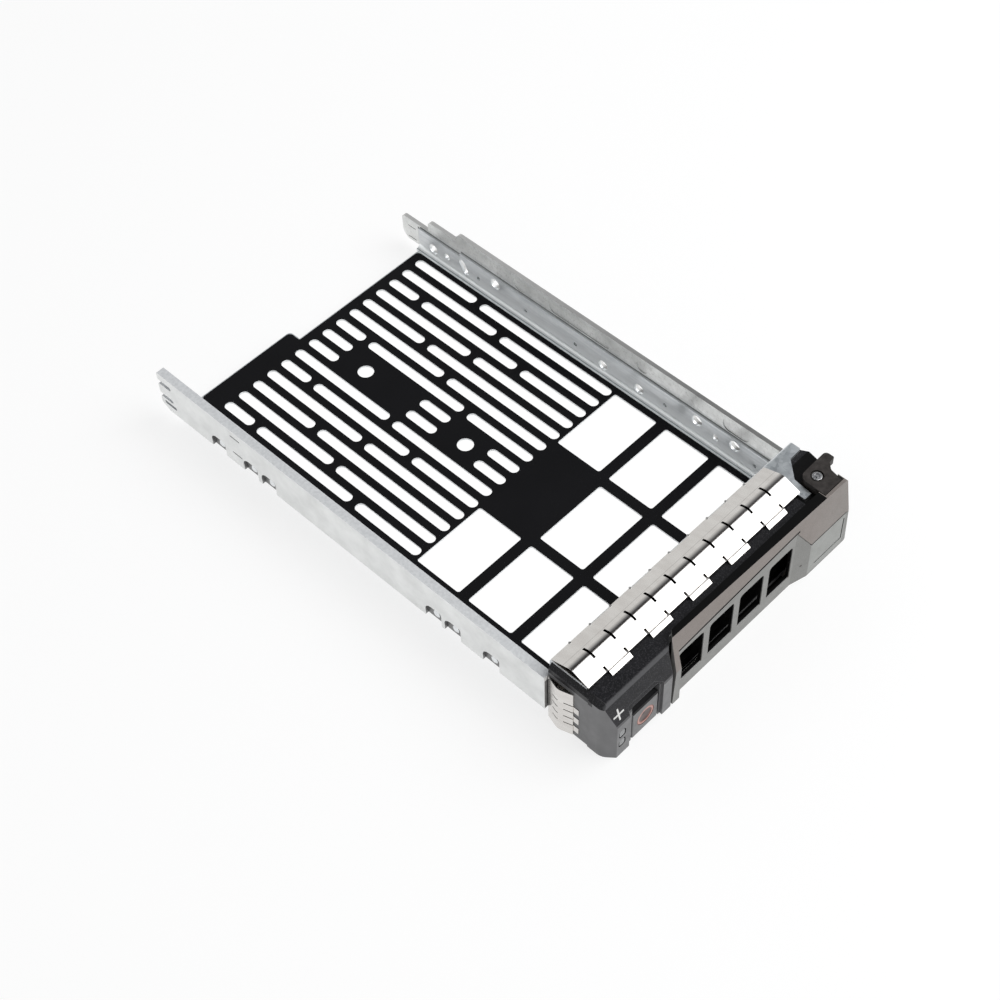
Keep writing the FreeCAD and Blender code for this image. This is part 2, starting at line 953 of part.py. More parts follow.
def bezel_openings():
    """Air openings through the recess wall, behind those of the lever."""
    cuts = []
    for index in range(air_count):
        left = air_first_x + index * air_pitch - 0.2
        right = left + air_width + 0.4
        corners = rectangle(left, right, air_bottom - 0.2, air_bottom + air_height + 1.5, 1.2)
        cuts.append(along_y(corners, recess_left_y - 1, duct_front + 1))
    return cuts


def bezel_body():
    plan = plate(bezel_plan(), bezel_bottom, bezel_top)
    boss = rod_z(pin_x, pin_y, boss_radius, boss_bottom, bezel_top)
    body = plan.common(front_slope())
    body = joined([body, boss])
    duct = along_y(
        rectangle(duct_left, duct_right, pan_bottom, duct_top, 1.0),
        duct_front,
        bezel_rear + 1,
    )
    floor_corners = block(duct_left, duct_right, duct_front, bezel_rear + 1, pan_bottom, pan_bottom + 1.2)
    top_edge = along_y(
        [
            (bezel_left - 1, bezel_top - 1.7),
            (bezel_left - 1, bezel_top + 1),
            (bezel_left + 1.7, bezel_top + 1),
        ]
        + [(bezel_left + 1.7, bezel_top), (bezel_left, bezel_top - 1.7)],
        bezel_front - 1,
        bezel_rear + 1,
    )
    hinge_room = rod_z(pin_x, pin_y, 7.5, bezel_bottom - 1, boss_bottom)
    pin_bore = rod_z(pin_x, pin_y, pin_radius + pin_fit, bezel_bottom - 1, bezel_top + 1)
    spring_room = rod_z(pin_x, pin_y, 2.75, 8.0, 12.0)
    leg_room = block(pin_x - 8.0, pin_x, pin_y + 1.4, pin_y + 2.75, 10.6, 12.0)
    mouth = block(pin_x - 3.2, pin_x - 1.2, pin_y - 4.6, pin_y, 8.0, 9.4)
    stem_bore = rod_y(stem_x, stem_z, stem_radius + stem_fit, stem_wall_front - 1, stem_wall_rear + 1)
    spring_bore = rod_y(stem_x, stem_z, spring_room_radius, stem_wall_rear, bezel_rear + 1)
    hook_slot = block(
        foot_tab_left - 0.1,
        foot_tab_right + 0.1,
        foot_tab_front - frame_sheet - 0.1,
        foot_tab_front + 0.1,
        bezel_top - 1.4,
        bezel_top + 1,
    )
    cuts = [duct, floor_corners, top_edge, hinge_room, pin_bore, spring_room, leg_room, mouth]
    cuts += [stem_bore, spring_bore, hook_slot, arm_box(0.3, button_travel)]
    cuts += button_recess() + catch_room() + bezel_openings()
    for number in (0, 1):
        cuts.append(pipe_room(number))
        cuts.append(status_block(number, status_window_rim))
        cuts.append(pipe_mouth(number))
    for x in bezel_screws_x:
        low = pan_bottom - bezel_screw_length + 0.8
        cuts.append(rod_z(x, bezel_screw_y, bezel_screw_radius + rivet_fit, low, 0))
    return body.cut(cuts)


def pipe_mouth(number):
    """Open groove in the bezel's left side, where a light pipe comes in from the rail."""
    z = pipe_route(number)[-3].z
    half = pipe_radius + pipe_clearance
    return block(bezel_left - 1, pipe_x, bezel_rear - 2.2, bezel_rear + 1, z - half, z + half)


def bezel_screws():
    seat = pan_top + frame_sheet
    screws = []
    for x in bezel_screws_x:
        shank = rod_z(x, bezel_screw_y, bezel_screw_radius, seat - bezel_screw_length, seat + 0.1)
        head = rod_z(x, bezel_screw_y, bezel_screw_head, seat, seat + 1.3)
        head = head.makeFillet(0.4, [edge for edge in head.Edges if edge.BoundBox.ZMin > seat + 1.2])
        screws.append(joined([shank, head]))
    return Part.makeCompound(screws)


# Spring finger strips


def arch(rear, front, foot, rise, ridge, thickness):
    """Two outlines of a flattened tube, outer and inner: a flat base with an arch above it."""
    outer = [
        (rear, foot),
        (front, foot),
        (front, foot + 0.45, 0.2),
        (ridge, foot + rise, strip_ridge_radius),
        (rear, foot + 0.45, 0.2),
    ]
    inner = [
        (rear - math.copysign(thickness * 1.6, rear - front), foot + thickness),
        (front + math.copysign(thickness * 1.6, rear - front), foot + thickness),
        (ridge, foot + rise - thickness, strip_ridge_radius - thickness),
    ]
    return outer, inner


def top_emi_strip():
    outer, inner = arch(strip_rear, strip_front, strip_bottom, strip_rise, strip_ridge_y, strip_thickness)
    strip = along_x(outer, flange_left, strip_right)
    cuts = [along_x(inner, flange_left - 1, strip_right + 1)]
    above = strip_bottom + strip_thickness + 0.05
    for index in range(slit_count):
        x = first_slit_x + index * finger_pitch
        low = x - slit_width / 2
        cuts.append(block(low, low + slit_width, strip_ridge_y - 2.0, strip_ridge_y + 2.4, above, above + 5))
        cuts.append(block(low, low + slit_width, strip_front - 0.1, strip_front + 1.5, above, above + 5))
        if index % 2:
            end = min(x + finger_pitch, strip_right + 1)
            cuts.append(block(x, end, strip_rear - rear_step, strip_rear + 1, strip_bottom - 1, above + 5))
    strip = strip.cut(cuts)
    tabs = []
    for index in range(front_tab_count):
        left = front_tab_first_x + index * 2 * finger_pitch
        corners = [
            (strip_front + 0.5, strip_bottom),
            (strip_front + 0.5, strip_bottom + strip_thickness),
            (strip_front - 0.3, strip_bottom + strip_thickness, 0.2),
            (front_tab_front, bezel_top + strip_thickness),
            (front_tab_front, bezel_top),
            (front_tab_front + 0.2, bezel_top),
            (strip_front - 0.3, strip_bottom),
        ]
        tabs.append(along_x(corners, left, left + front_tab_width))
    return joined([strip] + tabs)


def side_emi_strip():
    face = bezel_recess_left
    ridge = side_strip_ridge_y
    outer, inner = arch(side_strip_rear, side_strip_front, 0, side_strip_bulge, ridge, strip_thickness)
    turned = [(face - corner[1], corner[0]) + tuple(corner[2:]) for corner in outer]
    hollow = [(face - corner[1], corner[0]) + tuple(corner[2:]) for corner in inner]
    strip = plate(turned, side_strip_bottom, side_strip_top)
    cuts = [plate(hollow, side_strip_bottom - 1, side_strip_top + 1)]
    past = face - strip_thickness - 0.05
    for index in range(side_slit_count):
        z = side_slit_first_z + index * side_slit_pitch
        cuts.append(block(past - 5, past, ridge, ridge + 2.4, z, z + side_slit_width))
        cuts.append(block(past - 5, past, side_strip_front - 0.1, ridge - 1.8, z, z + side_slit_width))
    strip = strip.cut(cuts)
    tabs = []
    for index in range(side_tab_count):
        z = side_tab_first_z - index * side_tab_pitch - side_tab_height / 2
        inside = face - strip_thickness
        tabs.append(block(inside, face, side_tab_front, side_strip_front + 0.5, z, z + side_tab_height))
    return joined([strip] + tabs)


# Lever


def lever_section(x, head_y):
    """Outline of the lever's end: foot, upright face, crease and sloping head."""
    corners = [
        (lever_rear, lever_bottom),
        (bezel_front, lever_bottom),
        (bezel_front, lever_crease_z),
        (head_y, lever_top),
        (lever_rear, lever_top),
    ]
    return outline(corners, lambda point: vector(x, point.x, point.y))


def air_cuts():
    """The lever's air openings, with their upper corners more rounded."""
    cuts = []
    top = air_bottom + air_height
    for index in range(air_count):
        left = air_first_x + index * air_pitch
        right = left + air_width
        corners = [(left, air_bottom, 0.4), (right, air_bottom, 0.4), (right, top, 1.3), (left, top, 1.3)]
        cuts.append(along_y(corners, bezel_front - 1, lever_rear + 1))
    return cuts


def label_groove():
    """L-shaped groove at the right and lower edge of the label field."""
    depth = 0.35
    front = bezel_front - 1
    right = lever_right_foot - 2.3
    low = lever_bottom + 3.2
    upright = block(right - 0.5, right, front, bezel_front + depth, low, lever_crease_z - 2.2)
    level = block(facet_right + 2.8, right, front, bezel_front + depth, low, low + 0.5)
    return [upright, level]


def crease_z(x):
    """Height at which the sloping head meets the panel at an X."""
    share = (x - lever_left_foot) / (lever_right_foot - lever_left_foot)
    head_y = lever_head_left_y + share * (lever_head_right_y - lever_head_left_y)
    return lever_crease_z + (lever_top - lever_crease_z) * (panel_y - bezel_front) / (head_y - bezel_front)


def crease_line():
    """Thin groove along the crease, over the panel, down the facet and across the label block."""
    left = panel_left + 0.2
    right = lever_right_foot + 1
    line = [
        (left, crease_z(left)),
        (panel_right, crease_z(panel_right)),
        (facet_right, lever_crease_z),
        (right, lever_crease_z),
    ]
    below = [(x, z - crease_groove) for x, z in reversed(line)]
    front = bezel_front - 1
    skin = plate(
        [
            (left, front),
            (left, panel_y + crease_groove),
            (panel_right, panel_y + crease_groove),
            (facet_right, bezel_front + crease_groove),
            (right, bezel_front + crease_groove),
            (right, front),
        ],
        lever_bottom,
        lever_top,
    )
    return along_y(line + below, front, panel_y + 1).common(skin)


def lever_cover():
    left_end = lever_section(lever_left_foot, lever_head_left_y)
    ends = [left_end, lever_section(lever_right_foot, lever_head_right_y)]
    cover = Part.makeLoft(ends, True, True)
    drafted = along_y(
        [
            (lever_left_foot, lever_bottom, 0.4),
            (lever_right_foot, lever_bottom, 0.8),
            (lever_right_head, lever_top, 0.8),
            (lever_left_head, lever_top, 0.4),
        ],
        bezel_front - 1,
        lever_rear + 1,
    )
    cover = cover.common(drafted)
    past = bezel_front - 2
    panel = plate(
        [
            (panel_left, past),
            (panel_left, panel_y, 0.3),
            (panel_right, panel_y, 1.2),
            (facet_right, bezel_front - 0.05),
            (facet_right, past),
        ],
        lever_bottom - 1,
        lever_top + 1,
    )
    rear = lever_rear + 1
    hollow_y = panel_y + panel_wall
    hollow = along_y(
        rectangle(panel_left + 0.6, facet_right - 1.0, lever_bottom + 1.3, lever_top - 1.3, 0.8),
        hollow_y,
        rear,
    )
    label_room = along_y(
        rectangle(facet_right + 1.2, lever_right_head - 0.8, lever_bottom + 1.3, lever_top - 1.3, 0.8),
        web_front - 1.0,
        rear,
    )
    left = pin_x - eye_reach - 0.5
    right = web_right + 0.4
    front = web_front - 0.4
    plate_notch = block(left, right, front, rear, plate_bottom - 0.3, lever_top + 1)
    foot_notch = block(left, right, front, rear, lever_bottom - 1, lower_plate_top + 0.3)
    post_cut = plate(
        [
            (lever_left_foot - 1, ridge_y - 1.2),
            (bezel_right_end + 0.7 + post_gap, ridge_y - 1.0),
            (recess_left_x + post_gap, recess_left_y - 0.2),
            (recess_left_x + post_gap, rear),
            (lever_left_foot - 1, rear),
        ],
        lever_bottom - 1,
        lever_top + 1,
    )
    cuts = [panel, hollow, label_room, plate_notch, foot_notch, post_cut, crease_line()]
    cuts += air_cuts() + label_groove()
    cover = cover.cut(cuts)
    bosses = []
    for z in lever_screws_z:
        boss = rod_y(lever_screw_x, z, 2.0, web_front - 1.4, web_front)
        bosses.append(boss)
    cover = joined([cover] + bosses)
    holes = [
        rod_y(lever_screw_x, z, lever_screw_radius + 0.01, web_front - 1.8, web_front + 1)
        for z in lever_screws_z
    ]
    return cover.cut(holes)


def lever_core():
    front = web_front
    left = pin_x - eye_reach
    right = pin_x + eye_reach - 0.4
    upper = plate(
        [
            (pin_x - eye_reach, front),
            (pin_x - eye_reach + 0.2, pin_y + eye_rear, eye_corner),
            (tail_right, pin_y + eye_rear + 0.3, 1.4),
            (tail_right, pin_y + 0.5, 0.6),
            (tail_right - 2.4, pin_y + 0.5, 0.4),
            (pin_x + 4.5, pin_y - 1.6, 1.6),
            (pin_x + eye_reach - 0.4, front),
        ],
        plate_bottom,
        plate_top,
    )
    lower = plate(
        [
            (pin_x - eye_reach + 0.1, front),
            (pin_x - eye_reach + 0.1, pin_y + eye_rear + 0.3, eye_corner),
            (pin_x + eye_reach - 0.2, pin_y + eye_rear + 0.3, eye_corner),
            (pin_x + eye_reach - 0.4, front),
        ],
        lower_plate_bottom,
        lower_plate_top,
    )
    web = along_y(
        [
            (left, lower_plate_bottom),
            (right, lower_plate_bottom),
            (right, plate_top),
            (left, plate_top),
            (left, lever_top - web_margin_top),
            (web_left, lever_top - web_margin_top, 1.0),
            (web_left, lever_bottom + web_margin_bottom, 1.0),
            (left, lever_bottom + web_margin_bottom),
        ],
        web_front,
        web_rear,
    )
    core = joined([upper, lower, web])
    bore = rod_z(pin_x, pin_y, pin_radius + pin_fit, lower_plate_bottom - 1, plate_top + 1)
    rim = pin_head_radius + pin_head_gap
    head_room = rod_z(pin_x, pin_y, rim, plate_top - 0.6, plate_top + 1)
    foot_room = rod_z(pin_x, pin_y, rim, lower_plate_bottom - 1, lower_plate_bottom + 0.6)
    screws = [
        rod_y(lever_screw_x, z, lever_screw_radius + 0.05, web_front - 1, web_rear + 1)
        for z in lever_screws_z
    ]
    return core.cut([bore, head_room, foot_room] + screws)


def lever_screws():
    screws = []
    for z in lever_screws_z:
        shank = rod_y(lever_screw_x, z, lever_screw_radius, web_front - 1.5, web_rear + 0.1)
        head = rod_y(lever_screw_x, z, 1.7, web_rear, web_rear + 0.8)
        screws.append(joined([shank, head]))
    return Part.makeCompound(screws)


def hinge_pin():
    low = lower_plate_bottom + 0.1
    high = plate_top - 0.05
    shaft = rod_z(pin_x, pin_y, pin_radius, low, high)
    head = rod_z(pin_x, pin_y, pin_head_radius, plate_top - 0.55, high)
    head = head.makeFillet(0.2, [edge for edge in head.Edges if edge.BoundBox.ZMin > high - 0.01])
    foot = rod_z(pin_x, pin_y, pin_head_radius, low, lower_plate_bottom + 0.55)
    dish = rod_z(pin_x, pin_y, pin_dish_radius, high - 0.25, high + 1)
    dish = dish.cut(rod_z(pin_x, pin_y, pin_dish_radius / 2, high - 1, high + 1))
    return joined([shaft, head, foot]).cut(dish)


def lever_spring():
    """Torsion spring round the pin, one leg held in the bezel, the other against the lever's web."""
    radius = 2.05
    wire = spring_wire / 2
    turns = coil(vector(pin_x, pin_y, 8.7), vector(0, 0, 1), radius, wire, 4, 0.62)
    top = 8.7 + 4 * 0.62
    held = Part.makeCylinder(wire, 7.0, vector(pin_x, pin_y + radius, top), vector(-1, 0, 0))
    free = Part.makeCylinder(wire, 4.0, vector(pin_x - radius, pin_y, 8.7), vector(0, -1, 0))
    return turns, held, free


def lever_catch():
    """Flat spring hook behind the lever's free end."""
    low = catch_bottom
    high = catch_bottom + catch_height
    seat = panel_y + panel_wall
    strip = plate(
        [
            (catch_x, seat),
            (catch_x + 9.0, seat),
            (catch_x + 9.0, seat + catch_thickness),
            (catch_x + catch_thickness, seat + catch_thickness, 0.3),
            (catch_x + catch_thickness, -68.0, 0.2),
            (catch_x - 0.3, -68.0),
            (catch_x - catch_nose, duct_front + 0.9, 0.2),
            (catch_x - catch_nose, duct_front + 0.3, 0.1),
            (catch_x, duct_front + 0.3),
        ],
        low,
        high,
    )
    return strip


# Release button


def face_ring(outer, inner, front, rear):
    """Ring or disc round the stem's axis, at depths behind the button's face."""
    ring = rod_y(stem_x, stem_z, outer, button_front + front, button_front + rear)
    if inner:
        ring = ring.cut(rod_y(stem_x, stem_z, inner, button_front - 1, button_front + rear + 1))
    return ring


def finger_dish():
    """Shallow ball-shaped dish inside the ring."""
    rim = ring_radius - ring_width
    sink = ring_gap + dish_radius - math.sqrt(dish_radius**2 - rim**2)
    return Part.makeSphere(dish_radius, vector(stem_x, button_front + sink - dish_radius, stem_z))


def release_button():
    cap = plate(
        [
            (button_left, button_rear),
            (button_left, button_front, button_edge),
            (button_right, button_front, button_edge),
            (button_right, button_rear),
        ],
        button_bottom,
        button_top,
    )
    slant = [
        (button_front - 1, button_top - 1 - button_edge),
        (button_front + 1 + button_edge, button_top + 1),
        (button_front - 1, button_top + 1),
    ]
    cap = cap.cut(along_x(slant, button_left - 1, button_right + 1))
    stem = rod_y(stem_x, stem_z, stem_radius, button_rear - 0.1, stem_rear)
    guide = rod_y(stem_x, stem_z, 1.1, stem_rear - 0.1, stem_rear + 4.5)
    button = joined([cap, stem, guide, arm_box(0, 0)])
    ring_seat = face_ring(ring_radius, ring_radius - ring_width, -1, ring_depth)
    ring_rim = face_ring(ring_radius + ring_gap, ring_radius - ring_width, -1, ring_gap)
    clip_room = ring_at(stem_radius + 1, stem_radius - 0.6, clip_thickness)
    disc = face_ring(ring_radius - ring_width, 0, -1, 2)
    return button.cut([ring_seat, ring_rim, finger_dish().common(disc), clip_room])


def ring_at(outer, inner, width):
    """Ring round the stem just behind the wall that it slides in."""
    start = stem_wall_rear + 0.1
    hole = rod_y(stem_x, stem_z, inner, start, start + width)
    return rod_y(stem_x, stem_z, outer, start, start + width).cut(hole)


def button_ring():
    return face_ring(ring_radius, ring_radius - ring_width, 0.05, ring_depth)


def button_clip():
    clip = ring_at(stem_radius + 0.75, stem_radius - 0.6, clip_thickness)
    mouth = block(stem_x - 1.5, stem_x + 1.5, stem_wall_rear, stem_wall_rear + 1, stem_z - 5, stem_z - 1.2)
    return clip.cut(mouth)


def button_spring():
    start = stem_rear + spring_wire / 2 + 0.05
    end = bezel_rear - spring_wire / 2 - 0.05
    turns = 5
    pitch = (end - start) / turns
    return coil(vector(stem_x, start, stem_z), vector(0, 1, 0), 1.9, spring_wire / 2, turns, pitch)


def torsion_spring():
    turns, held, free = lever_spring()
    return joined([turns, held, free])


os.makedirs("parts", exist_ok=True)
nodes = {
    "base_pan": base_pan(),
    "insulating_sheet": insulating_sheet(),
    "left_rail": left_rail(),
    "right_rail": right_rail(),
    "upper_light_pipe": light_pipe(0),
    "lower_light_pipe": light_pipe(1),
    "left_rail_rivets": rivets(-1),
    "right_rail_rivets": rivets(1),
    "front_frame": front_frame(),
    "bezel_body": bezel_body(),
    "bezel_screws": bezel_screws(),
    "top_emi_strip": top_emi_strip(),
    "side_emi_strip": side_emi_strip(),
    "lever_cover": lever_cover(),
    "lever_core": lever_core(),
    "lever_screws": lever_screws(),
    "lever_catch": lever_catch(),
    "lever_spring": torsion_spring(),
    "hinge_pin": hinge_pin(),
    "release_button": release_button(),
    "button_ring": button_ring(),
    "button_clip": button_clip(),
    "button_spring": button_spring(),
}
for name, shape in nodes.items():
    shape.exportStep("parts/" + name + ".step")
    print(name, "solids", len(shape.Solids), "valid", shape.isValid(), "volume", round(shape.Volume, 1))
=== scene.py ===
"""Hot swap drive caddy: materials, small surface details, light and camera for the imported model.

Lengths are metres unless a name ends in _mm or _MM. The frame is the CAD frame: X right, Y to the
rear, Z up, with the origin on the face that the drive rests on.
"""

import json
import math

import bmesh
import bpy
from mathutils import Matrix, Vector


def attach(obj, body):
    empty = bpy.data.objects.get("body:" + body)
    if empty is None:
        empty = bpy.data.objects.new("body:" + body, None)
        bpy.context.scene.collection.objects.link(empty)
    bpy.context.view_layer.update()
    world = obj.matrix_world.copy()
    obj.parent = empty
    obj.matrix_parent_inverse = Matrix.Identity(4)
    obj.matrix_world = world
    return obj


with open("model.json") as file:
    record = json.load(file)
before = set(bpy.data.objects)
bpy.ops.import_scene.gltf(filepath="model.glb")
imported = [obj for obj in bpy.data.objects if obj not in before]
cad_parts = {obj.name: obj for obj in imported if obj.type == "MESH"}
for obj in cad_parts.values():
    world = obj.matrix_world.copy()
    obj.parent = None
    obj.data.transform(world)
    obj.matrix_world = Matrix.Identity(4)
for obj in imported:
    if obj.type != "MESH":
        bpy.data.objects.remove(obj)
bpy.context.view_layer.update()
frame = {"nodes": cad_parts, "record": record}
nodes = frame["nodes"]

MM = 0.001

# Camera, solved from the bay's walls and screw holes in the photograph

CAMERA_PLACE_MM = (-263.13, -253.01, 469.22)
CAMERA_TURN_DEG = (37.6771, 1.4005, -46.2316)
CAMERA_LENS_MM = 70.04
SENSOR_MM = 36.0
CAMERA_NEAR = 0.01
CAMERA_FAR = 50.0

# Ground and light

GROUND_Z = -4.4 * MM
GROUND_SIZE = 12.0
GROUND_WHITE = 0.86
GROUND_SHADOW_SHARE = 0.27
SKY_STEPS = (
    (0.00, (0.80, 0.80, 0.80)),
    (0.60, (0.79, 0.79, 0.78)),
    (0.74, (0.46, 0.475, 0.50)),
    (0.79, (0.36, 0.375, 0.40)),
    (0.82, (0.05, 0.05, 0.055)),
    (1.00, (0.05, 0.05, 0.055)),
)
GROUND_GLOW = 1.02
UNDER_PAN_MM = ((-51.0, 52.0), (-56.0, 103.0))
# Rectangle of ground under the bezel that is painted dark as a contact shadow
SHADOW_UNDER_BEZEL_MM = ((-28.0, 47.0), (-73.3, -56.0))
LAMP_PLACE = (0.46, -0.495, 0.87)
LAMP_SIZE = 1.0
LAMP_POWER = 8.5

# Stretches that draw a pattern out along Y, and the painted shade black inside deep hollows

STREAKS_ALONG_Y = (1, 0.05, 1)
ROLLED_ALONG_Y = (1, 0.04, 1)
HOLLOW_SHADE_BLACK = (0.003, 0.003, 0.003)

# Places on the part that its finishes follow. A box is two corners, each (X, Y, Z)

PAN_FRONT_Y_MM = -53.0
LOW_WALL_LIGHT_MM = 4.0
LOW_WALL_LIGHT_FADE_MM = 5.0
FLANGE_LOW_MM = 21.0
FOOT_BEND_HIGHLIGHT_BOX_MM = ((48.6, -54.0, -0.6), (50.95, 102.0, 1.2))
FOOT_BEND_DARK_LINE_BOX_MM = ((49.55, -54.0, -0.6), (49.8, 102.0, 1.2))
FRAME_VENT_SHADE_BOX_MM = ((-29.5, -66.0, -3.0), (41.5, -54.3, 21.2))

WALL_TOP_MM = 9.4
WALL_STEP_MM = 1.3
SEAM_HEIGHT_MM = 0.4
RAIL_STEP_Y_MM = 82.0
RAIL_POCKET_SHADE_BOX_MM = ((-54.5, -60.0, -1.0), (-53.0, 96.0, 14.6))
SEAM_SHADOW_BOX_MM = ((51.5, -56.0, WALL_TOP_MM), (51.9, RAIL_STEP_Y_MM, WALL_TOP_MM + SEAM_HEIGHT_MM))
LOW_SEAM_Z_MM = WALL_TOP_MM - WALL_STEP_MM
LOW_SEAM_SHADOW_BOX_MM = ((51.5, RAIL_STEP_Y_MM, LOW_SEAM_Z_MM), (51.9, 101.5, LOW_SEAM_Z_MM + SEAM_HEIGHT_MM))
RAIL_TOP_SHADE_Y_MM = 20.0
RAIL_TOP_SHADE_FADE_MM = 90.0
PIPE_REAR_END_Y_MM = 90.0
RIVET_TOP_MM = 14.0

DUCT_BOX_MM = ((-29.4, -73.4, -6.0), (41.4, -50.0, 20.4))
WINDOW_POCKET_BOX_MM = ((-49.9, -78.1, -1.0), (-46.7, -60.0, 8.2))
HINGE_ROOM_BOX_MM = ((38.0, -76.0, -6.0), (60.0, -60.0, 26.0))
STRIP_SEAT_BOX_MM = ((-54.0, -71.2, 17.8), (-51.5, -54.0, 22.0))
RIDGE_Y_MM = -75.1
RIDGE_HIGHLIGHT_HALF_WIDTH_MM = 0.9
RIDGE_LOW_MM = 20.0

STRIP_LOW_MM = 24.0
STRIP_SHADE_Y_MM = -61.2
STRIP_SHADE_FADE_MM = 1.9
STRIP_SHADE_BAND_Y_MM = -62.3
STRIP_SHADE_BAND_FADE_MM = 0.25
STRIP_FRONT_Y_MM = -68.4
STRIP_FOLD_SHADE_BOX_MM = ((-51.0, STRIP_FRONT_Y_MM - 0.24, 21.0), (40.0, STRIP_FRONT_Y_MM - 0.04, 24.0))
STRIP_FLOOR_SHADE_BOX_MM = ((-51.0, -67.6, 21.9), (39.6, -55.0, 22.45))

LEVER_PANEL_Y_MM = -76.6
LEVER_FRONT_Y_MM = -78.2
LEVER_BLOCK_X_MM = 34.3
LEVER_RIGHT_MM = 50.7
LEVER_CREASE_MM = 11.0
LEVER_TOP_MM = 24.0
LEVER_TOP_RIGHT_MM = 41.8
GROOVE_DEPTH_MM = 0.55
LEVER_DUCT_BOX_MM = ((-24.5, LEVER_PANEL_Y_MM + 0.3, -5.0), (28.4, -70.0, 16.4))
LEVER_SILL_HIGHLIGHT_BOX_MM = ((-23.5, LEVER_PANEL_Y_MM - 0.1, 0.0), (28.0, LEVER_PANEL_Y_MM + 0.35, 1.5))
LABEL_GROOVE_BOX_MM = (
    (LEVER_BLOCK_X_MM - 0.1, LEVER_FRONT_Y_MM + 0.1, -3.0),
    (LEVER_RIGHT_MM - 0.1, LEVER_FRONT_Y_MM + GROOVE_DEPTH_MM, LEVER_CREASE_MM + 0.06),
)
BLOCK_CREASE_BOX_MM = (
    (LEVER_BLOCK_X_MM, LEVER_FRONT_Y_MM - 0.1, LEVER_CREASE_MM - 0.3),
    (LEVER_RIGHT_MM, LEVER_FRONT_Y_MM + GROOVE_DEPTH_MM, LEVER_CREASE_MM + 0.12),
)
LABEL_BOX_MM = (
    (LEVER_BLOCK_X_MM + 0.1, LEVER_FRONT_Y_MM - 0.1, -3.6),
    (LEVER_RIGHT_MM, LEVER_FRONT_Y_MM + 0.2, LEVER_CREASE_MM - 0.1),
)
HEAD_CREASE_BOX_MM = ((-23.6, LEVER_PANEL_Y_MM - 0.1, 16.0), (29.5, LEVER_PANEL_Y_MM + 0.45, 21.5))
CREASE_RISE = 0.06025
CREASE_LOW_MM = 18.72
CREASE_WIDTH_MM = 0.75
MASK_FADE_MM = 0.05
DIMPLE_MM = (31.4, 2.8)
DIMPLE_RADIUS_MM = 0.45
DIMPLE_REAR_Y_MM = -75.0

BUTTON_CENTRE_MM = (-37.6, 2.1)
BUTTON_FRONT_Y_MM = -76.6
BUTTON_HALO_RADIUS_MM = 3.55
BUTTON_DISH_RADIUS_MM = 2.4

# Small pieces made here

SLOPE_FOOT_MM = (0.0, -78.0, 11.9)
SLOPE_TOP_MM = (0.0, -75.0, 21.2)
PLUS_PLACE_MM = (-48.8, 15.2)
PLUS_SIZE_MM = 4.2
PLUS_LINE_MM = 0.6
PLUS_THICKNESS_MM = 0.04
CLIP_COUNT = 10
CLIP_PITCH_MM = 8.33
CLIP_FIRST_MM = 8.93
CLIP_RADIUS_MM = 0.42
CLIP_LENGTH_MM = 0.5
CLIP_OVERLAP_MM = 0.22
CLIP_STEPS = 10
STRIP_EDGE_MM = 0.1
CLIP_LAYERS_MM = ((-0.05, 0.0), (0.14, 0.0), (0.22, 0.10))


def node_tree(owner):
    owner.use_nodes = True
    return owner.node_tree


def make_camera():
    data = bpy.data.cameras.new("camera")
    data.lens = CAMERA_LENS_MM
    data.sensor_width = SENSOR_MM
    data.clip_start = CAMERA_NEAR
    data.clip_end = CAMERA_FAR
    camera = bpy.data.objects.new("camera", data)
    camera.location = [value * MM for value in CAMERA_PLACE_MM]
    camera.rotation_euler = [math.radians(value) for value in CAMERA_TURN_DEG]
    bpy.context.scene.collection.objects.link(camera)
    bpy.context.scene.camera = camera


def make_softbox(name, place, target, width, power):
    data = bpy.data.lights.new(name, "AREA")
    data.shape = "SQUARE"
    data.size = width
    data.energy = power
    lamp = bpy.data.objects.new(name, data)
    lamp.location = place
    lamp.rotation_euler = (Vector(target) - Vector(place)).to_track_quat("-Z", "Y").to_euler()
    bpy.context.scene.collection.objects.link(lamp)


def make_world():
    """Studio surround: white to the eye, a grey that darkens in steps towards the zenith for the light."""
    world = bpy.data.worlds.new("studio")
    bpy.context.scene.world = world
    tree = node_tree(world)
    tree.nodes.clear()
    place = tree.nodes.new("ShaderNodeTexCoord")
    split = tree.nodes.new("ShaderNodeSeparateXYZ")
    ramp = tree.nodes.new("ShaderNodeValToRGB")
    surround = tree.nodes.new("ShaderNodeBackground")
    white = tree.nodes.new("ShaderNodeBackground")
    path = tree.nodes.new("ShaderNodeLightPath")
    mix = tree.nodes.new("ShaderNodeMixShader")
    out = tree.nodes.new("ShaderNodeOutputWorld")
    steps = ramp.color_ramp.elements
    while len(steps) < len(SKY_STEPS):
        steps.new(0.5)
    for step, (height, colour) in zip(steps, SKY_STEPS):
        step.position = height
        step.color = (*colour, 1)
    tree.links.new(place.outputs["Generated"], split.inputs[0])
    tree.links.new(split.outputs["Z"], ramp.inputs["Fac"])
    tree.links.new(ramp.outputs["Color"], surround.inputs["Color"])
    tree.links.new(path.outputs["Is Camera Ray"], mix.inputs["Fac"])
    tree.links.new(surround.outputs[0], mix.inputs[1])
    tree.links.new(white.outputs[0], mix.inputs[2])
    tree.links.new(mix.outputs[0], out.inputs["Surface"])
    surround.inputs["Strength"].default_value = 1.0
    white.inputs["Color"].default_value = (1, 1, 1, 1)
    white.inputs["Strength"].default_value = 1.0


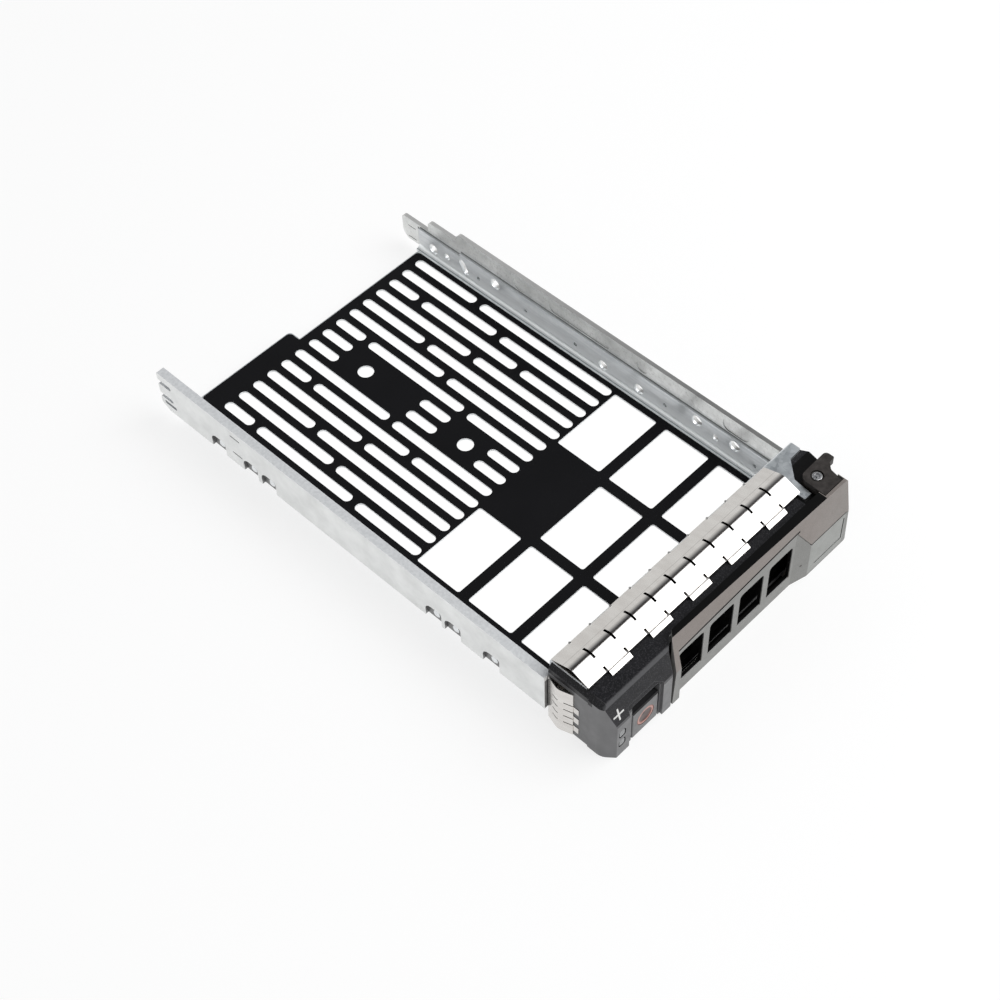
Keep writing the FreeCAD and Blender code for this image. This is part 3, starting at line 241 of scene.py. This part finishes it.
def ground_patch(tree, x_limits_mm, y_limits_mm, outside, inside):
    """One value on a rectangle of the ground and another round it."""
    place = tree.nodes.new("ShaderNodeTexCoord")
    split = tree.nodes.new("ShaderNodeSeparateXYZ")
    tree.links.new(place.outputs["Object"], split.inputs[0])
    mask = None
    for axis, limits in (("X", x_limits_mm), ("Y", y_limits_mm)):
        for limit, kind in zip(limits, ("GREATER_THAN", "LESS_THAN")):
            node = tree.nodes.new("ShaderNodeMath")
            node.operation = kind
            node.inputs[1].default_value = limit * MM
            tree.links.new(split.outputs[axis], node.inputs[0])
            if mask:
                both = tree.nodes.new("ShaderNodeMath")
                both.operation = "MULTIPLY"
                tree.links.new(mask, both.inputs[0])
                tree.links.new(node.outputs[0], both.inputs[1])
                mask = both.outputs[0]
            else:
                mask = node.outputs[0]
    spread = tree.nodes.new("ShaderNodeMapRange")
    spread.inputs["To Min"].default_value = outside
    spread.inputs["To Max"].default_value = inside
    tree.links.new(mask, spread.inputs["Value"])
    return spread.outputs["Result"]


def make_ground():
    """White sweep: shows as white, keeps a soft share of the object's shadow, and carries a painted shadow
    under the bezel.
    """
    mesh = bpy.data.meshes.new("ground")
    half = GROUND_SIZE / 2
    corners = [(x * half, y * half, GROUND_Z) for x, y in ((-1, -1), (1, -1), (1, 1), (-1, 1))]
    mesh.from_pydata(corners, [], [(0, 1, 2, 3)])
    ground = bpy.data.objects.new("ground", mesh)
    bpy.context.scene.collection.objects.link(ground)
    material = bpy.data.materials.new("ground_white")
    tree = node_tree(material)
    tree.nodes.clear()
    plain = tree.nodes.new("ShaderNodeBsdfDiffuse")
    shade = tree.nodes.new("ShaderNodeBsdfDiffuse")
    glow = tree.nodes.new("ShaderNodeEmission")
    both = tree.nodes.new("ShaderNodeAddShader")
    path = tree.nodes.new("ShaderNodeLightPath")
    seen = tree.nodes.new("ShaderNodeMath")
    seen_too = tree.nodes.new("ShaderNodeMath")
    mix = tree.nodes.new("ShaderNodeMixShader")
    out = tree.nodes.new("ShaderNodeOutputMaterial")
    plain.inputs["Color"].default_value = (GROUND_WHITE, GROUND_WHITE, GROUND_WHITE, 1)
    share = GROUND_SHADOW_SHARE
    tree.links.new(ground_patch(tree, *UNDER_PAN_MM, share, 0.0), shade.inputs["Color"])
    glowing = tree.nodes.new("ShaderNodeMath")
    glowing.operation = "MULTIPLY"
    tree.links.new(ground_patch(tree, *UNDER_PAN_MM, GROUND_GLOW - share, GROUND_GLOW), glowing.inputs[0])
    # painted shadow: no glow on the ground under the bezel and lever, so the ground seen through gaps there
    # is dark
    tree.links.new(ground_patch(tree, *SHADOW_UNDER_BEZEL_MM, 1.0, 0.0), glowing.inputs[1])
    tree.links.new(glowing.outputs[0], glow.inputs["Strength"])
    seen.operation = "MAXIMUM"
    seen_too.operation = "MAXIMUM"
    tree.links.new(path.outputs["Is Camera Ray"], seen.inputs[0])
    tree.links.new(path.outputs["Is Glossy Ray"], seen.inputs[1])
    tree.links.new(seen.outputs[0], seen_too.inputs[0])
    tree.links.new(path.outputs["Is Transmission Ray"], seen_too.inputs[1])
    tree.links.new(glow.outputs[0], both.inputs[0])
    tree.links.new(shade.outputs[0], both.inputs[1])
    tree.links.new(seen_too.outputs[0], mix.inputs["Fac"])
    tree.links.new(plain.outputs[0], mix.inputs[1])
    tree.links.new(both.outputs[0], mix.inputs[2])
    tree.links.new(mix.outputs[0], out.inputs["Surface"])
    ground.data.materials.append(material)


# Materials


class Finish:
    """A Principled material that is built up from noise patterns in object space."""

    def __init__(self, name, colour, metallic, roughness, specular=0.5):
        self.material = bpy.data.materials.new(name)
        self.tree = node_tree(self.material)
        self.shader = self.tree.nodes["Principled BSDF"]
        self.shader.inputs["Base Color"].default_value = (*colour, 1)
        self.shader.inputs["Metallic"].default_value = metallic
        self.shader.inputs["Roughness"].default_value = roughness
        self.shader.inputs["Specular IOR Level"].default_value = specular
        self.place = self.tree.nodes.new("ShaderNodeTexCoord")

    def add(self, kind, **settings):
        node = self.tree.nodes.new(kind)
        for name, value in settings.items():
            setattr(node, name, value)
        return node

    def link(self, start, end):
        self.tree.links.new(start, end)

    def stretched(self, stretch):
        """Object coordinates scaled along each axis, so that a pattern can run along one of them."""
        mapping = self.add("ShaderNodeMapping")
        mapping.inputs["Scale"].default_value = stretch
        self.link(self.place.outputs["Object"], mapping.inputs["Vector"])
        return mapping.outputs["Vector"]

    def noise(self, grain_mm, detail=3.0, stretch=(1, 1, 1)):
        texture = self.add("ShaderNodeTexNoise")
        texture.inputs["Scale"].default_value = 1 / (grain_mm * MM)
        texture.inputs["Detail"].default_value = detail
        self.link(self.stretched(stretch), texture.inputs["Vector"])
        return texture.outputs["Fac"]

    def spangle(self, grain_mm):
        """Flat patches like zinc crystals, each with its own value."""
        cells = self.add("ShaderNodeTexVoronoi")
        cells.inputs["Scale"].default_value = 1 / (grain_mm * MM)
        self.link(self.place.outputs["Object"], cells.inputs["Vector"])
        split = self.add("ShaderNodeSeparateColor")
        self.link(cells.outputs["Color"], split.inputs["Color"])
        return split.outputs["Red"]

    def spread(self, value, low, high, start=0.35, end=0.65):
        """Maps a pattern's middle range onto low..high."""
        node = self.add("ShaderNodeMapRange")
        node.inputs["From Min"].default_value = start
        node.inputs["From Max"].default_value = end
        node.inputs["To Min"].default_value = low
        node.inputs["To Max"].default_value = high
        self.link(value, node.inputs["Value"])
        return node.outputs["Result"]

    def choose(self, mask, off, on):
        """One value where a mask is 0 and another where it is 1."""
        return self.spread(mask, off, on, 0, 1)

    def blend(self, value, first, second):
        """Colour between two colours by a 0..1 value."""
        node = self.add("ShaderNodeMix", data_type="RGBA")
        for socket, colour in ((node.inputs[6], first), (node.inputs[7], second)):
            if isinstance(colour, tuple):
                socket.default_value = (*colour, 1)
            else:
                self.link(colour, socket)
        self.link(value, node.inputs["Factor"])
        return node.outputs[2]

    def mottle(self, grain_mm, first, second, detail=3.0):
        """Colour that drifts between two colours in clouds of a size."""
        return self.blend(self.spread(self.noise(grain_mm, detail), 0, 1), first, second)

    def colour(self, output):
        self.link(output, self.shader.inputs["Base Color"])

    def metallic(self, output):
        self.link(output, self.shader.inputs["Metallic"])

    def roughness(self, output):
        self.link(output, self.shader.inputs["Roughness"])

    def specular(self, output):
        self.link(output, self.shader.inputs["Specular IOR Level"])

    def bump(self, value, height_mm):
        node = self.add("ShaderNodeBump")
        node.inputs["Distance"].default_value = height_mm * MM
        self.link(value, node.inputs["Height"])
        self.link(node.outputs["Normal"], self.shader.inputs["Normal"])

    def tilt(self, start=0.15, end=0.3):
        """0 on upright faces and 1 on level or sloping ones."""
        surface = self.add("ShaderNodeNewGeometry")
        split = self.add("ShaderNodeSeparateXYZ")
        size = self.add("ShaderNodeMath", operation="ABSOLUTE")
        self.link(surface.outputs["True Normal"], split.inputs[0])
        self.link(split.outputs["Z"], size.inputs[0])
        return self.spread(size.outputs[0], 0, 1, start, end)

    def facing(self, axis, start=0.6, end=0.8):
        """1 on faces that look along an axis."""
        surface = self.add("ShaderNodeNewGeometry")
        split = self.add("ShaderNodeSeparateXYZ")
        self.link(surface.outputs["True Normal"], split.inputs[0])
        return self.spread(split.outputs[axis], 0, 1, start, end)

    def beyond(self, axis, place_mm, width_mm=0.1):
        """0 below a place along an axis and 1 above it."""
        split = self.add("ShaderNodeSeparateXYZ")
        self.link(self.place.outputs["Object"], split.inputs[0])
        start = (place_mm - width_mm / 2) * MM
        return self.spread(split.outputs[axis], 0, 1, start, start + width_mm * MM)

    def between(self, axis, low_mm, high_mm, width_mm=0.06):
        """1 between two places along an axis."""
        above = self.beyond(axis, low_mm, width_mm)
        return self.times(above, self.other(self.beyond(axis, high_mm, width_mm)))

    def bell(self, axis, centre_mm, half_width_mm):
        """1 at a place along an axis, falling to 0 on both sides."""
        split = self.add("ShaderNodeSeparateXYZ")
        self.link(self.place.outputs["Object"], split.inputs[0])
        centre = centre_mm * MM
        reach = half_width_mm * MM
        rise = self.spread(split.outputs[axis], 0, 1, centre - reach, centre)
        fall = self.spread(split.outputs[axis], 1, 0, centre, centre + reach)
        return self.times(rise, fall)

    def inside(self, low, high):
        """1 inside a box given by its corners in millimetres."""
        return self.times(*[self.between(axis, low[i], high[i]) for i, axis in enumerate("XYZ")])

    def inside_both(self, low, high):
        """1 inside a box on the right and inside its mirror image on the left."""
        mirrored = ((-high[0], low[1], low[2]), (-low[0], high[1], high[2]))
        return self.either(self.inside(low, high), self.inside(*mirrored))

    def either(self, first, *others):
        """The largest of some masks."""
        result = first
        for value in others:
            node = self.add("ShaderNodeMath", operation="MAXIMUM")
            self.link(result, node.inputs[0])
            self.link(value, node.inputs[1])
            result = node.outputs[0]
        return result

    def round_mask(self, centre_mm, radius_mm):
        """1 within a radius of a line that runs along Y through a place given as X and Z."""
        split = self.add("ShaderNodeSeparateXYZ")
        self.link(self.place.outputs["Object"], split.inputs[0])
        flat = self.add("ShaderNodeCombineXYZ")
        self.link(split.outputs["X"], flat.inputs["X"])
        self.link(split.outputs["Z"], flat.inputs["Y"])
        reach = self.add("ShaderNodeVectorMath", operation="DISTANCE")
        self.link(flat.outputs[0], reach.inputs[0])
        reach.inputs[1].default_value = (centre_mm[0] * MM, centre_mm[1] * MM, 0)
        inner = (radius_mm - MASK_FADE_MM) * MM
        outer = (radius_mm + MASK_FADE_MM) * MM
        return self.spread(reach.outputs["Value"], 1, 0, inner, outer)

    def crease_mask(self):
        """1 in the thin groove under the lever's sloping head, which rises slightly to the right."""
        split = self.add("ShaderNodeSeparateXYZ")
        self.link(self.place.outputs["Object"], split.inputs[0])
        slant = self.add("ShaderNodeMath", operation="MULTIPLY_ADD")
        slant.inputs[1].default_value = -CREASE_RISE
        self.link(split.outputs["X"], slant.inputs[0])
        self.link(split.outputs["Z"], slant.inputs[2])
        low = CREASE_LOW_MM * MM
        high = low + CREASE_WIDTH_MM * MM
        fade = MASK_FADE_MM * MM
        above = self.spread(slant.outputs[0], 0, 1, low, low + fade)
        below = self.spread(slant.outputs[0], 1, 0, high - fade, high)
        return self.times(above, below)

    def times(self, *values):
        """Product of masks."""
        result = values[0]
        for value in values[1:]:
            node = self.add("ShaderNodeMath", operation="MULTIPLY")
            self.link(result, node.inputs[0])
            self.link(value, node.inputs[1])
            result = node.outputs[0]
        return result

    def other(self, value):
        """One minus a mask."""
        return self.choose(value, 1, 0)

    def edges(self, radius_mm, reach=0.25):
        """1 along sharp edges and 0 on flats, from the difference between round and true normals."""
        rounded = self.add("ShaderNodeBevel", samples=4)
        rounded.inputs["Radius"].default_value = radius_mm * MM
        flat = self.add("ShaderNodeNewGeometry")
        dot = self.add("ShaderNodeVectorMath", operation="DOT_PRODUCT")
        self.link(rounded.outputs["Normal"], dot.inputs[0])
        self.link(flat.outputs["Normal"], dot.inputs[1])
        return self.spread(dot.outputs["Value"], 1, 0, 1 - reach, 1.0)


def galvanised():
    finish = Finish("galvanised", (0.70, 0.73, 0.76), 1.0, 0.36)
    patches = finish.spread(finish.spangle(1.3), 0, 1, 0.0, 1.0)
    cloud = finish.spread(finish.noise(12), 0, 1)
    sheet = finish.blend(patches, (0.74, 0.77, 0.79), (0.82, 0.84, 0.86))
    sheet = finish.blend(cloud, sheet, (0.80, 0.825, 0.84))
    # painted shade: level faces of the top flange are made darker than the rest of the sheet
    flange_top_shade = finish.times(finish.tilt(0.8, 0.9), finish.beyond("Z", FLANGE_LOW_MM))
    sheet = finish.blend(flange_top_shade, sheet, finish.blend(patches, (0.42, 0.45, 0.47), (0.60, 0.63, 0.65)))
    walls = finish.times(finish.other(finish.tilt(0.1, 0.2)), finish.beyond("Y", PAN_FRONT_Y_MM))
    streaks = finish.spread(finish.noise(1.1, 2, STREAKS_ALONG_Y), 0, 1, 0.42, 0.66)
    sheet = finish.blend(finish.times(walls, streaks), sheet, (0.66, 0.69, 0.71))
    # painted light: the lowest part of the walls is made near white and less metallic, in place of reflected
    # light on the shadowed foot
    low_wall_light = finish.times(walls, finish.other(finish.beyond("Z", LOW_WALL_LIGHT_MM, LOW_WALL_LIGHT_FADE_MM)))
    sheet = finish.blend(low_wall_light, sheet, (0.93, 0.95, 0.96))
    # painted highlight: bright lines along the walls' foot bends, with a painted dark reflection line
    # between them
    bend_highlight = finish.inside_both(*FOOT_BEND_HIGHLIGHT_BOX_MM)
    sheet = finish.blend(bend_highlight, sheet, (0.96, 0.985, 0.99))
    sheet = finish.blend(finish.inside_both(*FOOT_BEND_DARK_LINE_BOX_MM), sheet, (0.42, 0.47, 0.48))
    # painted shade: the front frame seen through the vents is made near black
    finish.colour(finish.blend(finish.inside(*FRAME_VENT_SHADE_BOX_MM), sheet, (0.02, 0.02, 0.021)))
    dull = finish.times(finish.choose(walls, 1.0, 0.4), finish.choose(low_wall_light, 1.0, 0.3))
    finish.metallic(finish.either(dull, bend_highlight))
    rough = finish.spread(finish.noise(3.5, 4), 0.30, 0.44)
    finish.roughness(finish.either(rough, finish.choose(bend_highlight, 0, 0.5)))
    finish.bump(finish.noise(0.9, 2), 0.010)
    return finish.material


def black_film():
    finish = Finish("black_film", (0.004, 0.004, 0.005), 0.0, 0.55, 0.12)
    finish.colour(finish.mottle(30, (0.0030, 0.0030, 0.0040), (0.0045, 0.0045, 0.0058), 2))
    finish.roughness(finish.spread(finish.noise(6, 3), 0.50, 0.62))
    finish.bump(finish.noise(0.25, 2), 0.006)
    return finish.material


def cast_rail():
    finish = Finish("cast_rail", (0.70, 0.71, 0.71), 0.85, 0.42)
    level = finish.tilt(0.6, 0.8)
    right_side = finish.beyond("X", 0)
    cloud = finish.spread(finish.noise(7, 4), 0, 1, 0.3, 0.7)
    specks = finish.spread(finish.noise(0.8, 3), 0, 0.5, 0.52, 0.70)
    left_face = finish.blend(cloud, (0.76, 0.77, 0.765), (0.88, 0.89, 0.885))
    right_face = finish.blend(cloud, (0.68, 0.69, 0.68), (0.92, 0.93, 0.92))
    right_face = finish.blend(specks, right_face, (0.56, 0.56, 0.55))
    face = finish.blend(right_side, left_face, right_face)
    flecks = finish.spread(finish.noise(0.9, 3), 0, 0.6)
    left_top = finish.blend(flecks, (0.74, 0.755, 0.77), (0.58, 0.595, 0.61))
    # painted shade: the right rail's top is made dark grey, darkest at the front and lighter towards the
    # rear
    rearward = finish.beyond("Y", RAIL_TOP_SHADE_Y_MM, RAIL_TOP_SHADE_FADE_MM)
    right_top_shade = finish.blend(rearward, (0.26, 0.26, 0.255), (0.62, 0.62, 0.61))
    top = finish.blend(right_side, left_top, right_top_shade)
    # painted shade: pockets on the left rail's outer side, and thin lines where the right wall meets the
    # rail, are made dark grey
    pocket_shade = finish.inside(*RAIL_POCKET_SHADE_BOX_MM)
    painted_shade = finish.either(pocket_shade, finish.inside(*SEAM_SHADOW_BOX_MM), finish.inside(*LOW_SEAM_SHADOW_BOX_MM))
    finish.colour(finish.blend(painted_shade, finish.blend(level, face, top), (0.22, 0.22, 0.22)))
    finish.metallic(finish.choose(finish.times(level, finish.other(right_side)), 0.85, 0.15))
    finish.roughness(finish.spread(finish.noise(2.5, 4), 0.36, 0.52))
    finish.bump(finish.noise(1.4, 3), 0.02)
    return finish.material


def clear_plastic():
    finish = Finish("clear_plastic", (0.60, 0.62, 0.63), 0.0, 0.18)
    # painted shade: the front of the light pipes is a darker grey than their light rear ends, for the shade
    # inside the bezel
    rear_end = finish.beyond("Y", PIPE_REAR_END_Y_MM)
    front = finish.mottle(1.5, (0.17, 0.175, 0.18), (0.25, 0.255, 0.26))
    finish.colour(finish.blend(rear_end, front, (0.86, 0.88, 0.89)))
    finish.roughness(finish.spread(finish.noise(0.6), 0.12, 0.26))
    return finish.material


def bright_steel():
    finish = Finish("bright_steel", (0.70, 0.70, 0.71), 1.0, 0.24)
    # painted shade: the hinge pin gets a darker steel than the rivets, in place of the dark surroundings it
    # reflects
    pin = finish.mottle(0.8, (0.34, 0.34, 0.345), (0.52, 0.52, 0.525))
    rivets = finish.mottle(0.8, (0.74, 0.76, 0.775), (0.84, 0.86, 0.87))
    finish.colour(finish.blend(finish.beyond("Z", RIVET_TOP_MM), rivets, pin))
    finish.roughness(finish.spread(finish.noise(0.5), 0.20, 0.36))
    return finish.material


def black_plastic():
    finish = Finish("black_plastic", (0.012, 0.012, 0.013), 0.0, 0.36, 0.3)
    level = finish.tilt()
    grainy = finish.mottle(9, (0.007, 0.007, 0.0085), (0.011, 0.011, 0.013))
    specks = finish.spread(finish.noise(0.34, 1), 0, 1, 0.50, 0.75)
    grainy = finish.blend(specks, grainy, (0.045, 0.045, 0.05))
    # painted light: upright outer faces get a lighter grey than the level ones, as lit sides of the same
    # black plastic
    painted_lit_sides = finish.mottle(5, (0.115, 0.115, 0.119), (0.135, 0.135, 0.139))
    # painted shade: duct, window pockets and hinge room are made deepest black; these and the strip seat
    # keep the dark level colour
    duct = finish.inside(*DUCT_BOX_MM)
    hinge_room = finish.inside(*HINGE_ROOM_BOX_MM)
    hollow = finish.either(duct, finish.inside(*WINDOW_POCKET_BOX_MM), hinge_room)
    painted_shade = finish.either(hollow, finish.inside(*STRIP_SEAT_BOX_MM))
    outside = finish.times(finish.other(level), finish.other(painted_shade))
    colour = finish.blend(outside, grainy, painted_lit_sides)
    # painted highlight: a lighter band along the rounded ridge at the top of the front slope
    ridge_highlight = finish.times(finish.bell("Y", RIDGE_Y_MM, RIDGE_HIGHLIGHT_HALF_WIDTH_MM), finish.beyond("Z", RIDGE_LOW_MM))
    colour = finish.blend(ridge_highlight, colour, (0.085, 0.085, 0.09))
    # painted highlight: sharp edges outside the shaded places get a lighter grey line
    edges = finish.times(finish.edges(0.3, 0.2), finish.other(painted_shade))
    colour = finish.blend(edges, colour, (0.11, 0.11, 0.115))
    finish.colour(finish.blend(hollow, colour, HOLLOW_SHADE_BLACK))
    finish.roughness(finish.spread(finish.noise(3), 0.32, 0.42))
    shine = finish.choose(outside, 0.21, 0.55)
    duct_shine = finish.choose(duct, 1.0, 0.1)
    room_shine = finish.choose(hinge_room, 1.0, 0.5)
    finish.specular(finish.times(shine, duct_shine, room_shine))
    finish.bump(finish.times(finish.noise(0.26, 2), level), 0.035)
    return finish.material


def spring_steel():
    finish = Finish("spring_steel", (0.74, 0.72, 0.69), 1.0, 0.24)
    rolled = finish.spread(finish.noise(2.5, 1, ROLLED_ALONG_Y), 0, 1)
    base = finish.blend(rolled, (0.70, 0.675, 0.65), (0.76, 0.74, 0.715))
    above = finish.beyond("Z", STRIP_LOW_MM)
    rear = finish.times(finish.beyond("Y", STRIP_SHADE_Y_MM, STRIP_SHADE_FADE_MM), above)
    front = finish.other(finish.beyond("Y", STRIP_SHADE_BAND_Y_MM, STRIP_SHADE_BAND_FADE_MM))
    # painted shade: above the strip's low line, the front side of the ridge is made grey and the ridge
    # itself a dark band
    base = finish.blend(finish.times(front, above), base, (0.56, 0.555, 0.55))
    ridge_shade_band = finish.times(finish.other(rear), finish.other(front), above)
    base = finish.blend(ridge_shade_band, base, (0.10, 0.09, 0.085))
    # painted shade: a thin dark line along the strip's front fold
    base = finish.blend(finish.inside(*STRIP_FOLD_SHADE_BOX_MM), base, (0.16, 0.155, 0.15))
    # painted shade: the strip's floor under the arch, seen through the slits, is made dark brown-grey
    finish.colour(finish.blend(finish.inside(*STRIP_FLOOR_SHADE_BOX_MM), base, (0.24, 0.215, 0.19)))
    finish.roughness(finish.spread(finish.noise(5, 1), 0.23, 0.26))
    return finish.material


def lever_plastic():
    finish = Finish("lever_plastic", (0.24, 0.23, 0.22), 0.4, 0.38)
    flake = finish.spread(finish.noise(0.12, 2), 0, 1, 0.42, 0.58)
    head = finish.blend(flake, (0.205, 0.180, 0.167), (0.265, 0.235, 0.218))
    panel = finish.blend(flake, (0.200, 0.200, 0.192), (0.260, 0.260, 0.250))
    label = finish.blend(flake, (0.255, 0.262, 0.250), (0.320, 0.328, 0.315))
    colour = finish.blend(finish.tilt(0.05, 0.15), panel, head)
    colour = finish.blend(finish.inside(*LABEL_BOX_MM), colour, label)
    # painted shade: a small dark dot for the shade inside a dimple on the lever's front
    before = finish.other(finish.beyond("Y", DIMPLE_REAR_Y_MM))
    dimple = finish.times(finish.round_mask(DIMPLE_MM, DIMPLE_RADIUS_MM), before)
    colour = finish.blend(dimple, colour, (0.07, 0.065, 0.06))
    # painted highlight: a light line on the level sills at the front of the lever's openings
    sill_highlight = finish.times(finish.inside(*LEVER_SILL_HIGHLIGHT_BOX_MM), finish.tilt(0.8, 0.9))
    colour = finish.blend(sill_highlight, colour, (0.55, 0.55, 0.54))
    # painted shade: the openings' insides, the grooves, the crease under the head and the level top are made
    # near black
    label_groove = finish.times(finish.inside(*LABEL_GROOVE_BOX_MM), finish.other(finish.facing("X")))
    grooves = finish.either(label_groove, finish.inside(*BLOCK_CREASE_BOX_MM))
    crease = finish.times(finish.inside(*HEAD_CREASE_BOX_MM), finish.crease_mask())
    top = finish.times(finish.facing("Z", 0.93, 0.97), finish.beyond("Z", LEVER_TOP_MM))
    top = finish.times(top, finish.other(finish.beyond("X", LEVER_TOP_RIGHT_MM)))
    painted_shade = finish.either(finish.inside(*LEVER_DUCT_BOX_MM), grooves, crease, top)
    finish.colour(finish.blend(painted_shade, colour, (0.005, 0.005, 0.005)))
    finish.metallic(finish.choose(painted_shade, 0.4, 0.0))
    finish.specular(finish.choose(painted_shade, 0.5, 0.05))
    finish.roughness(finish.spread(finish.noise(4, 3), 0.35, 0.45))
    finish.bump(finish.noise(0.15, 2), 0.006)
    return finish.material


def dark_metal():
    finish = Finish("dark_metal", (0.055, 0.048, 0.045), 0.6, 0.42, 0.4)
    finish.colour(finish.mottle(2.2, (0.034, 0.030, 0.028), (0.062, 0.055, 0.052), 4))
    finish.roughness(finish.spread(finish.noise(1.2, 3), 0.36, 0.52))
    finish.bump(finish.noise(0.6, 3), 0.02)
    return finish.material


def button_plastic():
    finish = Finish("button_plastic", (0.045, 0.045, 0.048), 0.0, 0.40)
    level = finish.tilt(0.3, 0.5)
    # painted light: the button's upright faces get a lighter grey than its level ones
    painted_lit_sides = finish.mottle(3, (0.125, 0.125, 0.127), (0.145, 0.145, 0.147))
    halo = finish.round_mask(BUTTON_CENTRE_MM, BUTTON_HALO_RADIUS_MM)
    dish = finish.round_mask(BUTTON_CENTRE_MM, BUTTON_DISH_RADIUS_MM)
    painted_lit_sides = finish.blend(halo, painted_lit_sides, (0.24, 0.125, 0.11))
    painted_lit_sides = finish.blend(dish, painted_lit_sides, (0.135, 0.105, 0.100))
    colour = finish.blend(level, painted_lit_sides, (0.012, 0.012, 0.013))
    # painted shade: the button's sides behind its front face are made near black, for the gap around it
    front = finish.other(finish.beyond("Y", BUTTON_FRONT_Y_MM))
    finish.colour(finish.blend(front, (0.02, 0.02, 0.021), colour))
    finish.roughness(finish.spread(finish.noise(1.5), 0.34, 0.44))
    finish.specular(finish.choose(level, 0.5, 0.28))
    finish.bump(finish.noise(0.2, 2), 0.006)
    return finish.material


def orange_plastic():
    finish = Finish("orange_plastic", (0.50, 0.22, 0.17), 0.0, 0.34)
    finish.colour(finish.mottle(0.7, (0.42, 0.20, 0.165), (0.52, 0.27, 0.23)))
    finish.roughness(finish.spread(finish.noise(0.5), 0.28, 0.40))
    return finish.material


def mark_print():
    finish = Finish("mark_print", (0.72, 0.72, 0.71), 0.0, 0.5)
    finish.colour(finish.mottle(0.3, (0.62, 0.62, 0.61), (0.78, 0.78, 0.77)))
    return finish.material


def clip_steel():
    finish = Finish("clip_steel", (0.40, 0.39, 0.38), 1.0, 0.3)
    finish.colour(finish.mottle(0.4, (0.46, 0.45, 0.43), (0.74, 0.73, 0.71)))
    finish.roughness(finish.spread(finish.noise(0.6), 0.24, 0.36))
    return finish.material


FINISHES = {
    "galvanised": galvanised,
    "black_film": black_film,
    "cast_rail": cast_rail,
    "clear_plastic": clear_plastic,
    "bright_steel": bright_steel,
    "black_plastic": black_plastic,
    "spring_steel": spring_steel,
    "lever_plastic": lever_plastic,
    "dark_metal": dark_metal,
    "button_plastic": button_plastic,
    "orange_plastic": orange_plastic,
}


def dress_nodes():
    made = {name: make() for name, make in FINISHES.items()}
    for part in frame["record"]["subparts"]:
        node = nodes[part["node"]]
        for slot in node.material_slots:
            slot.material = made[part["material_slot"]]


def make_piece(name, points, faces, material):
    """Mesh object with its faces turned outwards."""
    mesh = bpy.data.meshes.new(name)
    mesh.from_pydata(points, [], faces)
    build = bmesh.new()
    build.from_mesh(mesh)
    bmesh.ops.recalc_face_normals(build, faces=build.faces)
    build.to_mesh(mesh)
    build.free()
    mesh.materials.append(material)
    piece = bpy.data.objects.new(name, mesh)
    bpy.context.scene.collection.objects.link(piece)
    return piece


def stack_faces(start, count, layers):
    """Faces of a closed stack of outlines that lie one above the other."""
    faces = []
    for layer in range(layers - 1):
        for step in range(count):
            a = start + layer * count + step
            b = start + layer * count + (step + 1) % count
            faces.append((a, b, b + count, a + count))
    last = start + (layers - 1) * count
    faces.append(tuple(start + step for step in reversed(range(count))))
    faces.append(tuple(last + step for step in range(count)))
    return faces


def plus_mark():
    """Plain plus printed on the bezel's slope, beside the button."""
    arm = PLUS_SIZE_MM / 2
    half = PLUS_LINE_MM / 2
    quarter = [(half, half), (half, arm), (-half, arm)]
    outline = []
    for _ in range(4):
        outline += quarter
        quarter = [(-v, u) for u, v in quarter]
    across = Vector((1, 0, 0))
    up = (Vector(SLOPE_TOP_MM) - Vector(SLOPE_FOOT_MM)).normalized()
    outward = across.cross(up)
    if outward.y > 0:
        outward.negate()
    share = (PLUS_PLACE_MM[1] - SLOPE_FOOT_MM[2]) / (SLOPE_TOP_MM[2] - SLOPE_FOOT_MM[2])
    centre = Vector(SLOPE_FOOT_MM).lerp(Vector(SLOPE_TOP_MM), share)
    centre.x = PLUS_PLACE_MM[0]
    points = []
    for lift in (0.0, PLUS_THICKNESS_MM):
        points += [(centre + across * u + up * v + outward * lift) * MM for u, v in outline]
    mark = make_piece("plus_mark", points, stack_faces(0, len(outline), 2), mark_print())
    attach(mark, "tray")


def rear_clips():
    """Small rounded hooks along the rear edge of the top finger strip, one beside each slit."""
    strip = nodes["top_emi_strip"]
    seen = [strip.matrix_world @ vertex.co / MM for vertex in strip.data.vertices]
    rear = max(point.y for point in seen)
    right = max(point.x for point in seen)
    level = max(point.z for point in seen if point.y > rear - STRIP_EDGE_MM)
    outline = [(-CLIP_RADIUS_MM, -CLIP_LENGTH_MM), (CLIP_RADIUS_MM, -CLIP_LENGTH_MM)]
    for step in range(CLIP_STEPS + 1):
        angle = math.pi * step / CLIP_STEPS
        outline.append((CLIP_RADIUS_MM * math.cos(angle), CLIP_RADIUS_MM * math.sin(angle)))
    points = []
    faces = []
    for index in range(CLIP_COUNT):
        centre = Vector((right - CLIP_FIRST_MM - index * CLIP_PITCH_MM, rear - CLIP_OVERLAP_MM, level))
        faces += stack_faces(len(points), len(outline), len(CLIP_LAYERS_MM))
        for height, inset in CLIP_LAYERS_MM:
            scale = 1 - inset / CLIP_RADIUS_MM
            points += [(centre + Vector((x * scale, y * scale, height))) * MM for x, y in outline]
    clips = make_piece("strip_rear_clips", points, faces, clip_steel())
    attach(clips, "tray")


make_camera()
make_world()
make_ground()
make_softbox("overhead", LAMP_PLACE, (0, 0, 0), LAMP_SIZE, LAMP_POWER)
dress_nodes()
plus_mark()
rear_clips()

bpy.context.scene.view_settings.view_transform = "Standard"
